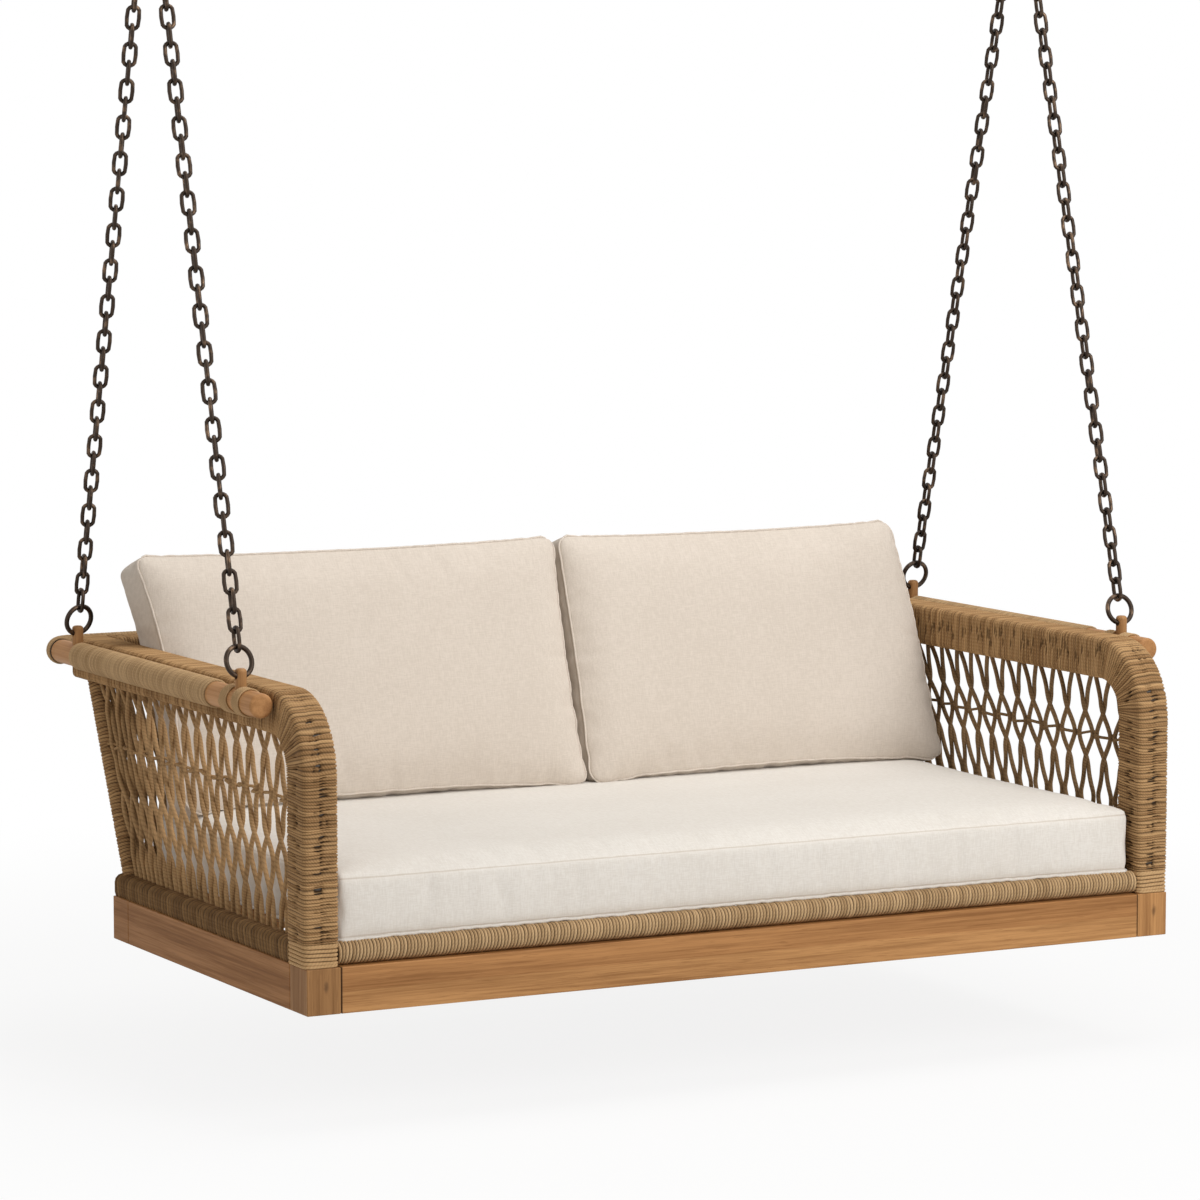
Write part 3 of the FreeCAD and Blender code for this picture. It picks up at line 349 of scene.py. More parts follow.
def bound(outline, length, pitch, route, seed, ridge=plain_ridge, slit=None, skew=None, close=plain_close,
          loose=1.0, capped=False):
    """Rope turns along a route: a grid of four rows a turn is wrapped round the outline, and each point is
    set on its ridge or in its furrow. A slit sinks some points further, a skew leans the turns, loose turns
    lie less evenly and capped ends are closed."""
    chance = random.Random(seed)
    turns = max(2, round(length / pitch))
    rows, columns = 4 * turns, len(outline)
    lean, bow, swell = ([loose * chance.uniform(-share, share) for _ in range(turns + 1)]
                        for share in (lean_share, bow_share, swell_share))
    dice = [chance.random() for _ in range(turns + 1)]
    girth = sum((a[0] - b[0]).length for a, b in zip(outline, outline[1:] + outline[:1]))
    bm = bmesh.new()
    uv = bm.loops.layers.uv.new("UVMap")
    hollow_shade = bm.verts.layers.float.new("hollow_shade")
    bmesh.ops.create_grid(bm, x_segments=columns, y_segments=rows, size=0.5, calc_uvs=True)
    for face in bm.faces:
        for loop in face.loops:
            loop[uv].uv = ((loop.vert.co.x + 0.5) * girth / pitch, (loop.vert.co.y + 0.5) * turns)
    edges = []
    for vert in bm.verts:
        column = round((vert.co.x + 0.5) * columns)
        row = round((vert.co.y + 0.5) * rows)
        if column in (0, columns):
            edges.append(vert)
        spot, out = outline[column % columns]
        number = row // 4
        drop = ridge * ROW_SHARES[row % 4] * (1 + swell[number])
        vert[hollow_shade] = 0.0
        if row in (0, rows):
            drop = close
        elif slit:
            extra = slit(row % 4, number, dice[number], spot.x, spot.y)
            drop += extra
            # the depth is kept as well, for the painted shade in the openings
            vert[hollow_shade] = extra / hollow_depth
        along = length * row / rows
        fade = min(1.0, along / (2 * pitch), (length - along) / (2 * pitch))
        angle = tau * column / columns
        shift = lean[number] * sin(angle) + bow[number] * cos(2 * angle)
        if skew:
            shift += skew(spot.x, spot.y)
        vert.co = route(along + shift * pitch * fade, spot - out * drop)
    bmesh.ops.remove_doubles(bm, verts=edges, dist=weld)
    if capped:
        ends = bmesh.ops.holes_fill(bm, edges=[edge for edge in bm.edges if edge.is_boundary])["faces"]
        for loop in (loop for face in ends for loop in face.loops):
            loop[uv].uv = (0.5, 0.5)
    bmesh.ops.recalc_face_normals(bm, faces=bm.faces)
    return bm


def straight(start, along, side, up):
    """A straight route from a point; the outline's X goes to side and its Y to up."""
    return lambda s, flat: start + along * s + side * flat.x + up * flat.y


bar_climb = 16.0


def leaning(x, y):
    """The turns climb a little across the bar."""
    return bar_climb * y


X, Y, Z = Vector((1, 0, 0)), Vector((0, 1, 0)), Vector((0, 0, 1))
bar_pitch, bar_ridge, bar_loose = 0.0068, 0.0034, 0.35
for number, node in enumerate(("front_bar_wrap", "back_bar_wrap")):
    low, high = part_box(node)
    centre = (low + high) / 2
    turns = bound(round_outline((high.z - low.z) / 2, 20), high.x - low.x, bar_pitch,
                  straight(Vector((low.x, centre.y, centre.z)), X, Y, Z), 11 + number, ridge=bar_ridge,
                  skew=leaning, loose=bar_loose)
    show(f"{node}_rope", turns, bar_rope, node)

# the side bars end flush with the plinth
bar_sink, bar_inset, bar_cover, bar_corner = 0.009, 0.0015, 0.0012, 0.017
side_pitch, side_ridge, side_close = 0.0132, 0.0036, 0.003
for number, (side, sign) in enumerate(SIDES.items()):
    low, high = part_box(f"{side}_bar_wrap")
    rail_low, rail_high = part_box(f"{side}_side_rail")
    outer = rail_high.x - bar_inset if sign > 0 else rail_low.x + bar_inset
    inner = low.x if sign > 0 else high.x
    wide, tall = abs(outer - inner), high.z - rail_high.z + bar_sink
    start = Vector(((outer + inner) / 2, low.y, high.z - tall / 2))
    turns = bound(band_outline(wide, tall, bar_corner), high.y - low.y + bar_cover, side_pitch,
                  straight(start, Y, X, Z), 21 + number, ridge=side_ridge, skew=leaning, close=side_close,
                  loose=bar_loose, capped=True)
    show(f"{side}_bar_wrap_rope", turns, painted_shade_side_rope, f"{side}_bar_wrap")


def mottled(name, scale, detail, first, second, **values):
    """A finish of two shades that cloud into each other."""
    made, tree, shader = new_finish(name)
    cloud = clouded(tree, spots(tree), scale, detail)
    supply(tree, shader, Base_Color=tint(tree, cloud, first, second), **values)
    return made, tree, shader, cloud


coated_tube = mottled("coated_tube", 900.0, 2.0, (0.05, 0.042, 0.035), (0.075, 0.062, 0.052),
                      Roughness=0.55)[0]
wear("seat_bar_tubes", coated_tube)

# Arms: a pair of tubes side by side, bent up from the plinth's corner and over to the back, bound
# together in a figure of eight. The binding leaves a row of stitches down the front of the post.
bound_rope = rope("bound_rope", 0.74, 1.0)
band_wide, band_high, band_corner = 0.071, 0.083, 0.011
bend_radius, arm_pitch, arm_ridge, arm_close, arm_loose = 0.109, 0.0056, 0.0024, 0.004, 1.4
sewn_turns, gape_share, stray_mix = 83, 0.15, 13.0
HOLE_SHAPE = (1.0, 0.4, 0.0, 0.4)
GAPE_SHAPE = (1.0, 0.75, 0.3, 0.75)
# openings: where they lie, how far they stray, half their width, their depth and the share of turns with one
SEAM_HOLE = (0.0, 0.003, 0.0046, 0.0075, 0.85)
TWIN_HOLE = (0.0, 0.0, 0.004, 0.006, 0.55)
SIDE_HOLE = (-0.003, 0.009, 0.0075, 0.0075, 0.6)
SIDE_GAPE = (-0.004, 0.016, 0.0085, 0.0068, 0.4)
twin_reach, side_reach = 0.014, 0.004


def opening(kind, across, stray, chance):
    """The depth of an opening at a place across it."""
    place, wander, half, depth, share = kind
    return depth if chance < share and abs(across - place - wander * stray) < half else 0.0


def stitched(row, number, chance, x, y):
    """Extra depth where turns gape: at the stitches down the front of a post, and along the sides."""
    stray = 2 * ((chance * stray_mix) % 1.0) - 1
    if y < band_corner - band_high / 2:
        if number > sewn_turns:
            return 0.0
        depth = opening(SEAM_HOLE, x, stray, chance)
        depth = depth or opening(TWIN_HOLE, x - copysign(twin_reach, stray), stray, chance)
        return (GAPE_SHAPE if chance < gape_share else HOLE_SHAPE)[row] * depth
    if abs(x) > band_wide / 2 - side_reach:
        if number < sewn_turns:
            return HOLE_SHAPE[row] * opening(SIDE_HOLE, y, stray, chance)
        return GAPE_SHAPE[row] * opening(SIDE_GAPE, y, stray, chance)
    return 0.0


cross_step, cross_reach, band_climb = 0.14, 0.005, 9.0


def crossed(x, y):
    """The turns of the two tubes meet out of step along the front, and fall in line at the back."""
    front = max(0.0, min(1.0, 0.5 - y / band_high))
    return cross_step * front * tanh(x / cross_reach) + band_climb * y


for number, side in enumerate(SIDES):
    low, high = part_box(f"{side}_arm_wrap")
    centre_x = (low.x + high.x) / 2
    post_y = low.y + band_high / 2
    bend_z = high.z - band_high / 2 - bend_radius
    rise = bend_z - low.z
    turn_length = bend_radius * pi / 2
    reach = high.y - post_y - bend_radius

    def arm_route(s, flat):
        """Up the post, round the bend and back along the arm; the outline's Y faces the bend's inside."""
        if s < rise:
            return Vector((centre_x + flat.x, post_y + flat.y, low.z + s))
        # past the bend, what is left of the way goes straight on
        angle = min(s - rise, turn_length) / bend_radius
        away = bend_radius - flat.y
        return Vector((centre_x + flat.x,
                       post_y + bend_radius - away * cos(angle) + max(0.0, s - rise - turn_length),
                       bend_z + away * sin(angle)))

    turns = bound(band_outline(band_wide, band_high, band_corner), rise + turn_length + reach + bar_cover,
                  arm_pitch, arm_route, 31 + number, ridge=arm_ridge, slit=stitched, skew=crossed,
                  close=arm_close, loose=arm_loose, capped=True)
    show(f"{side}_arm_rope", turns, bound_rope, f"{side}_arm_wrap")
    wear(f"{side}_arm_tube", coated_tube)

# Foot lashings: one length of thinner rope round the foot of each front post, where the arm meets
# the seat bars. It is wound by hand in level rows, with its ends tucked under.


def new_curve(name, radius, sides):
    """An empty curve with a round tube along it."""
    curve = bpy.data.curves.new(name, "CURVE")
    curve.dimensions = "3D"
    curve.bevel_depth = radius
    curve.bevel_resolution = sides
    return curve


def tube_mesh(curve, widths):
    """The tube of a curve, with a UV map that counts so many cord widths along it."""
    holder = placed(curve.name, curve)
    mesh = bpy.data.meshes.new_from_object(holder.evaluated_get(bpy.context.evaluated_depsgraph_get()))
    bpy.data.objects.remove(holder)
    bm = bmesh.new()
    bm.from_mesh(mesh)
    bpy.data.meshes.remove(mesh)
    uv = bm.loops.layers.uv[0]
    for face in bm.faces:
        for loop in face.loops:
            loop[uv].uv.x *= widths
    return bm


def wound(name, points, radius, sides=2):
    """A round cord along points, as one unbroken tube."""
    curve = new_curve(name, radius, sides)
    curve.use_fill_caps = True
    spline = curve.splines.new("POLY")
    spline.points.add(len(points) - 1)
    for target, point in zip(spline.points, points):
        target.co = (*point, 1)
    length = sum((b - a).length for a, b in zip(points, points[1:]))
    return tube_mesh(curve, length / (2 * radius))


single_cord = rope("single_cord", 0.0, 2.0, (0.60, 0.392, 0.198), (0.33, 0.19, 0.08))
foot_cord, foot_turns, foot_corner = 0.0068, 5, 0.010
for side, sign in SIDES.items():
    low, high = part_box(f"{side}_foot_lashing")
    centre = (low + high) / 2
    foot_pitch = (high.z - low.z - foot_cord) / foot_turns
    loop = band_outline(high.x - low.x - foot_cord, high.y - low.y - foot_cord, foot_corner)
    route = []
    # the first and the last half turn lie level, on the front of the post
    for step in range((foot_turns + 1) * len(loop) + len(loop) // 2 + 1):
        corner = loop[step % len(loop)][0]
        climbed = max(0.0, min(foot_turns, step / len(loop) - 0.5))
        climb = low.z + foot_cord / 2 + foot_pitch * climbed
        route.append(Vector((centre.x + sign * corner.x, centre.y + corner.y, climb)))
    show(f"{side}_foot_cord", wound(f"{side}_foot_route", route, foot_cord / 2), single_cord,
         f"{side}_foot_lashing")

# Back band and posts: the same bound pair of tubes lies across the back, carried by two round tubes
# that are bound with the same rope and lean back from the rear seat bar.
back_close, post_radius, post_sink = 0.008, 0.017, 0.012
band_low, band_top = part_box("back_band_wrap")
centre = (band_low + band_top) / 2
turns = bound(band_outline(band_wide, band_high, band_corner), band_top.x - band_low.x, arm_pitch,
              straight(Vector((band_low.x, centre.y, centre.z)), X, Y, -Z), 41, slit=stitched, skew=crossed,
              close=back_close)
show("back_band_rope", turns, bound_rope, "back_band_wrap")
wear("back_band_tube", coated_tube)
wear("back_posts", coated_tube)

bar_low, bar_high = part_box("back_bar_wrap")
post_rise = band_low.z - bar_high.z
post_run = (band_low.y + band_top.y - bar_low.y - bar_high.y) / 2
lean = Vector((0, post_run, post_rise)).normalized()
for number, side in enumerate(SIDES):
    low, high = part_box(f"{side}_back_post_wrap")
    head = Vector(((low.x + high.x) / 2, (band_low.y + band_top.y) / 2, band_low.z))
    foot = head - lean * ((post_rise + post_sink) / lean.z)
    turns = bound(round_outline(post_radius, 18), (head - foot).length, bar_pitch,
                  straight(foot, lean, X, lean.cross(X)), 51 + number)
    show(f"{side}_back_post_rope", turns, bound_rope, f"{side}_back_post_wrap")

# Outer rail: a turned teak dowel along each arm, bound with thin cord along most of its length and
# lashed round the front peg, and a bound tube that carries it round the back.
FINE_COLOURS = ((0.56, 0.375, 0.198), (0.32, 0.195, 0.09))
fine_rope = rope("fine_rope", 0.45, 1.0, *FINE_COLOURS)
fine_pitch, fine_ridge, fine_close = 0.0052, 0.0009, 0.0035
for number, side in enumerate(SIDES):
    wear(f"{side}_arm_dowel", teak(f"{side}_dowel_teak", "Y", (0.4, 0.6 + number, 0.2),
                                   (0.50, 0.255, 0.10), (0.33, 0.152, 0.055))[0])
    low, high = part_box(f"{side}_dowel_wrap")
    centre = (low + high) / 2
    turns = bound(round_outline((high.z - low.z) / 2, 24), high.y - low.y, fine_pitch,
                  straight(Vector((centre.x, low.y, centre.z)), Y, -X, Z), 61 + number, ridge=fine_ridge,
                  close=fine_close)
    show(f"{side}_dowel_rope", turns, fine_rope, f"{side}_dowel_wrap")

thin_cord = rope("thin_cord", 0.0, 2.0, *FINE_COLOURS)
dowel_cord, dowel_pitch, dowel_turns, marks = 0.0036, 0.0044, 7, 24
peg_radius, dowel_gap, peg_gap = 0.011, 0.0003, 0.0006
for side, sign in SIDES.items():
    low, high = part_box(f"{side}_dowel_lashing")
    dowel_low, dowel_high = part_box(f"{side}_arm_dowel")
    axis_x, axis_z = (dowel_low.x + dowel_high.x) / 2, (dowel_low.z + dowel_high.z) / 2
    loop_radius = (dowel_high.x - dowel_low.x) / 2 + dowel_cord / 2 + dowel_gap
    leap = 2 * peg_radius + dowel_cord + peg_gap
    start_y = low.y + dowel_cord / 2
    route = []
    along = 0.0
    # half-way, the cord leaps past the peg on the underside of the dowel
    for step in range(2 * dowel_turns * marks + marks // 2 + 1):
        angle = pi + tau * step / marks
        route.append(Vector((axis_x + sign * loop_radius * cos(angle), start_y + along,
                             axis_z + loop_radius * sin(angle))))
        under = dowel_turns * marks <= step < dowel_turns * marks + marks // 2
        along += leap / (marks / 2) if under else dowel_pitch / marks
    show(f"{side}_dowel_cord", wound(f"{side}_dowel_route", route, dowel_cord / 2), thin_cord,
         f"{side}_dowel_lashing")

low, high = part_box("back_rail_wrap")
rail_radius = (high.z - low.z) / 2
corner_radius = 0.036
rail_x = high.x - rail_radius
rail_y = high.y - rail_radius
rail_z = (low.z + high.z) / 2
bend_length = corner_radius * pi / 2
run_length = 2 * (rail_x - corner_radius)


def rail_route(s, flat):
    """From the left dowel round the corner, along the back and round the other corner."""
    if s < bend_length or s > bend_length + run_length:
        mirror = s > bend_length
        angle = (2 * bend_length + run_length - s if mirror else s) / corner_radius
        away = corner_radius + flat.x
        x = rail_x - corner_radius + away * cos(angle)
        y = rail_y - corner_radius + away * sin(angle)
        return Vector((x if mirror else -x, y, rail_z + flat.y))
    return Vector((s - bend_length - run_length / 2, rail_y + flat.x, rail_z + flat.y))


turns = bound(round_outline(rail_radius, 24), run_length + 2 * bend_length, fine_pitch, rail_route, 71,
              ridge=fine_ridge, close=fine_close)
show("back_rail_rope", turns, fine_rope, "back_rail_wrap")
wear("back_rail_tube", coated_tube)

# Rope nets: pairs of cords tied from the seat bars up to the arms and the back, twisted round each
# other three times on the way, with a thin cord knotted along them below the arm.
net_cord = rope("net_cord", 0.0, 2.0, (0.50, 0.308, 0.146), (0.115, 0.062, 0.025))
# painted shade: the right net's cords are the net cord painted darker, for the shade inside the seat
painted_shade_cord = rope("painted_shade_cord", 0.0, 2.0, (0.29, 0.18, 0.088), (0.09, 0.05, 0.021))
string_radius, tie_radius, string_widths, cells = 0.0050, 0.0031, 55, 3
spread_share, drift_share, tuck_share = 0.42, 0.05, 0.012
tie_share, sag_share, slack_share, weave_share, sag_step = 2 / 3, 0.010, 0.006, 1.4, 0.9
KNOT_PLACES, KNOT_LEVELS, KNOT_RADII = (0.9, 1.1), (-0.01, 0.01), (0.007, 0.0095)
KNOT_SHAPE = (0.8, 0.8, 1.15, 1)
# where a cord stands across its column and in front of its twin, down one cell from spread to spread
CELL_MARKS = ((0.0, 1.0, 0.0), (0.18, 0.58, 0.0), (0.36, 0.16, 0.6), (0.5, 0.0, 0.95), (0.64, -0.16, 0.6),
              (0.82, -0.58, 0.0))
# the lowest cell crosses nearer to the bar and stands on it less wide
FOOT_MARKS = ((0.0, 0.62, 0.0), (0.1, 0.55, 0.0), (0.24, 0.16, 0.6), (0.36, 0.0, 0.95), (0.5, -0.16, 0.6),
              (0.76, -0.62, 0.0))


def knotted_net(name, node, material, columns, place, through):
    """Twisted pairs of cords between the shares 0 and 1 of a net, and the tie along it."""
    curve = new_curve(name, string_radius, 1)
    curve.resolution_u = 3
    chance = random.Random(name)
    for column in range(columns):
        drift = [chance.uniform(-drift_share, drift_share) for _ in range(cells + 1)]
        for hand in (-1, 1):
            marks = []
            for cell in range(cells):
                turn = hand * (1 if cell % 2 == 0 else -1)
                shape = CELL_MARKS if cell else FOOT_MARKS
                marks += [((cell + t) / cells, turn * wide, hand * front, cell) for t, wide, front in shape]
            marks.append((1.0, hand * (-1 if cells % 2 else 1), 0.0, cells))
            spline = curve.splines.new("NURBS")
            spline.points.add(len(marks) - 1)
            for target, (t, wide, front, cell) in zip(spline.points, marks):
                s = (column + 0.5 + drift[cell] + spread_share * wide) / columns
                # both ends run a little into the bindings they are tied to
                reach = t + (tuck_share if t == 1.0 else -tuck_share if t == 0.0 else 0.0)
                target.co = (*(place(s, reach) + through * front * string_radius), 1)
            spline.order_u = 3
            spline.use_endpoint_u = True
    show(name, tube_mesh(curve, string_widths), material, node)
    points = []
    for mark in range(columns * 4 + 1):
        sag = sag_share * sin(mark * sag_step) + chance.uniform(-slack_share, slack_share)
        weave = string_radius * weave_share * (1 if mark % 4 < 2 else -1)
        points.append(place(mark / (columns * 4), tie_share + sag) + through * weave)
    tie = wound(f"{name}_tie_route", points, tie_radius, 1)
    # a small knot where the tie takes each pair of cords
    for column in range(columns):
        s = (column + chance.uniform(*KNOT_PLACES)) / columns
        knot = place(s, tie_share + chance.uniform(*KNOT_LEVELS))
        bmesh.ops.create_icosphere(tie, subdivisions=1, radius=chance.uniform(*KNOT_RADII),
                                   matrix=Matrix.Translation(knot) @ Matrix.Diagonal(KNOT_SHAPE))
    show(f"{name}_tie", tie, material)


slope, rear_crowding, side_columns = post_run / post_rise, 0.16, 16
for side, sign in SIDES.items():
    low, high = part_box(f"{side}_net")

    def side_place(s, t):
        """A place in the side net, leaning more and standing closer towards the back."""
        z = low.z + t * (high.z - low.z)
        rear = high.y - (high.z - z) * slope
        crowded = s + rear_crowding * s * (1 - s)
        return Vector(((low.x + high.x) / 2, low.y + crowded * (rear - low.y), z))

    knotted_net(f"{side}_net_cords", f"{side}_net", net_cord if sign < 0 else painted_shade_cord, side_columns,
                side_place, X * sign)

low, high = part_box("back_net")
end_crowding, net_inset, back_columns, net_out = 0.5, 0.0027, 48, Vector((0, -0.9, 0.43))


def back_place(s, t):
    """A place in the back net, whose cords stand closer towards both posts."""
    crowded = s - end_crowding * sin(tau * s) / tau
    return Vector((low.x + crowded * (high.x - low.x),
                   low.y + net_inset + t * (high.y - low.y - 2 * net_inset), low.z + t * (high.z - low.z)))


knotted_net("back_net_cords", "back_net", net_cord, back_columns, back_place, net_out)

# Pegs: short turned teak pegs that carry the seat, glued into blind sockets in the dowels and bored
# crosswise for the rings.
peg_teak = teak("peg_teak", "Z", (0.15, 0.35, 0.6), (0.43, 0.225, 0.088), (0.26, 0.122, 0.044))[0]
wear("hanger_pegs", peg_teak)

# Rings and chains: bent and welded steel wire with a dark bronze finish, rubbed a little paler in
# places. The rings run through the pegs, and the front and back chains meet in a top ring.
dark_bronze, tree, shader = new_finish("dark_bronze")
pit_relief = 0.0003
cloud = clouded(tree, spots(tree), 55.0, 5.0)
rubbed = graded(tree, cloud, 0.5, 0.72)
supply(tree, shader, Base_Color=tint(tree, rubbed, (0.040, 0.027, 0.019), (0.145, 0.092, 0.057)),
       Roughness=graded(tree, cloud, 0.3, 0.75, 0.52, 0.36), Metallic=0.85)
raised(tree, shader, clouded(tree, spots(tree), 480.0), 0.25, pit_relief)

hang_x, apex_z, hole_z, hang_y = 0.9583, -0.115, -1.626, 0.4
ring_radius, top_radius, ring_wire, ring_turn = 0.028, 0.031, 0.0095, radians(12)
link_wire, link_inside_width, link_nominal, link_gap, peg_size = 0.008, 0.015, 0.036, 0.0003, 0.022
level_share, twist_ends, twist_reach = 0.05, 4, 4
WRINGS = {"left": -0.5, "right": -0.3}
TWIST_PEAKS = {"front": 10, "back": 26}


def ring(name, node, body, radius, centre, axis):
    """A round ring of wire."""
    bm = bmesh.new()
    bmesh.ops.create_circle(bm, segments=12, radius=ring_wire / 2)
    bmesh.ops.rotate(bm, verts=bm.verts, matrix=Matrix.Rotation(pi / 2, 3, "X"))
    bmesh.ops.translate(bm, verts=bm.verts, vec=(radius, 0, 0))
    bmesh.ops.spin(bm, geom=bm.verts[:] + bm.edges[:], axis=Z, angle=tau, steps=48, use_merge=True)
    bmesh.ops.rotate(bm, verts=bm.verts, matrix=Z.rotation_difference(axis).to_matrix())
    bmesh.ops.translate(bm, verts=bm.verts, vec=centre)
    bmesh.ops.recalc_face_normals(bm, faces=bm.faces)
    show(name, bm, dark_bronze, node, body)


def chain(name, node, body, start, along, first, inside, links, twist):
    """Links of bent wire, each turned a quarter from the last, with a little twist along the chain."""
    bend = (link_inside_width + link_wire) / 2
    half = (inside + link_wire) / 2 - bend
    link = bmesh.new()
    bmesh.ops.create_circle(link, segments=8, radius=link_wire / 2)
    bmesh.ops.translate(link, verts=link.verts, vec=(bend, 0, 0))
    bmesh.ops.spin(link, geom=link.verts[:] + link.edges[:], axis=Y, angle=tau, steps=16, use_merge=True)
    # the two steps level with the middle are drawn apart, which makes the link's straight sides
    for vert in link.verts:
        if abs(vert.co.z) > bend * level_share:
            vert.co.z += copysign(half, vert.co.z)
    bmesh.ops.recalc_face_normals(link, faces=link.faces)
    shape = bpy.data.meshes.new(f"{name}_shape")
    link.to_mesh(shape)
    link.free()
    lean = Z.rotation_difference(along).to_matrix().to_4x4()
    bm = bmesh.new()
    for number in range(links):
        before = len(bm.verts)
        bm.from_mesh(shape)
        bm.verts.ensure_lookup_table()
        quarter = Matrix.Rotation((pi / 2 if number % 2 == 0 else 0.0) + twist(number), 4, "Z")
        place = Matrix.Translation(start + along * (first + number * (inside - link_gap)))
        bmesh.ops.transform(bm, matrix=place @ lean @ quarter, verts=bm.verts[before:])
    bpy.data.meshes.remove(shape)
    show(name, bm, dark_bronze, node, body)


for side, sign in SIDES.items():
    apex = Vector((sign * hang_x, 0, apex_z))
    ring(f"{side}_top_ring_wire", f"{side}_top_ring", f"{side}_chains", top_radius, apex, X)
    for end, away in (("front", -1), ("back", 1)):
        hole = Vector((sign * hang_x, away * hang_y, hole_z))
        along = (apex - hole).normalized()
        sag = ring_radius - sqrt(ring_radius ** 2 - (peg_size / 2) ** 2)
        centre = hole + along * (ring_radius - sag / 2)
        facing = Matrix.Rotation(ring_turn if side == "left" else 0.0, 3, "Z") @ X.cross(along)
        ring(f"{side}_{end}_ring_wire", f"{side}_{end}_ring", f"{side}_chains", ring_radius, centre, facing)
        room = (apex - centre).length - top_radius - ring_radius + ring_wire
        links = 2 * round(room / (2 * link_nominal))
        inside = (room + (links + 1) * link_gap) / links
        first = ring_radius - ring_wire / 2 - link_gap + inside / 2

        def twist(number):
            """Links near the rings hang straight, and the slack between lets them turn."""
            ends = min(1.0, number / twist_ends, (links - 1 - number) / twist_ends)
            bulge = exp(-(((number - TWIST_PEAKS[end]) / twist_reach) ** 2))
            return WRINGS[side] * ends * (0.5 + 0.5 * bulge)

        chain(f"{side}_{end}_links", f"{side}_{end}_chain", f"{side}_chains", centre, along, first, inside,
              links, twist)

# Ceiling hangers: folded steel brackets, each with an eye that turns on a bolt in a brass bush. The
# steel is coated to match the chain, but matt, and the bolts and nuts are bare.
bracket_coat = mottled("bracket_coat", 420.0, 3.0, (0.034, 0.024, 0.017), (0.060, 0.042, 0.030),
                       Roughness=0.62, Specular_IOR_Level=0.3)[0]
for side in SIDES:
    wear(f"{side}_hanger_bracket", bracket_coat)
    wear(f"{side}_hanger_eye", bracket_coat)
bolt_steel, tree, shader, scuff = mottled("bolt_steel", 300.0, 4.0, (0.36, 0.35, 0.33), (0.5, 0.49, 0.47),
                                          Metallic=1.0)
supply(tree, shader, Roughness=graded(tree, scuff, 0.3, 0.7, 0.28, 0.42))
wear("pivot_bolts", bolt_steel)
wear("pivot_nuts", bolt_steel)
bush_brass = mottled("bush_brass", 220.0, 3.0, (0.42, 0.27, 0.09), (0.62, 0.43, 0.17), Metallic=1.0,
                     Roughness=0.35)[0]
wear("hanger_bushes", bush_brass)

# Cushions: foam in linen covers, boxed with a strip between two seams. The seat cushion lies on the
# slats and the front bar, and the two back cushions stand on it, leaning back.
weave_relief = 0.0006


def linen(name, light, dark):
    """Plain woven linen, with slubs along both threads and painted shade darkening the line at the stitching.
    """
    made, tree, shader = new_finish(name)
    place = spots(tree)
    warp = clouded(tree, drawn_out(tree, place, (560.0, 70.0, 70.0)), 1.0)
    weft = clouded(tree, drawn_out(tree, place, (70.0, 560.0, 560.0)), 1.0)
    weave = weighed(tree, (warp, 0.5), (weft, 0.5))
    tone = weighed(tree, (weave, 0.85), (clouded(tree, place, 5.0, 3.0), 0.18))
    woven = tint(tree, graded(tree, tone, 0.38, 0.66), dark, light)
    sewn = add(tree, "Attribute", {"attribute_name": "sewn"}).outputs["Fac"]
    # painted shade along the seams, darkening the linen towards a brown
    painted_seam_shade = graded(tree, sewn, 0.6, 1.0, 0.0, 0.42)
    supply(tree, shader, Base_Color=tint(tree, painted_seam_shade, woven, (0.40, 0.30, 0.21)), Roughness=0.92,
           Specular_IOR_Level=0.12, Sheen_Weight=0.1, Sheen_Roughness=0.5)
    raised(tree, shader, weave, 0.3, weave_relief)
    return made


seat_linen = linen("seat_linen", (0.765, 0.732, 0.683), (0.69, 0.648, 0.592))
# the back cushions' linen is a warmer cloth than the seat's, and is also painted darker as painted shade
shaded_back_linen = linen("shaded_back_linen", (0.70, 0.625, 0.548), (0.62, 0.547, 0.472))
seam_row, roll_reach, cut_near, near = 0.005, 0.075, 0.0002, 0.0001


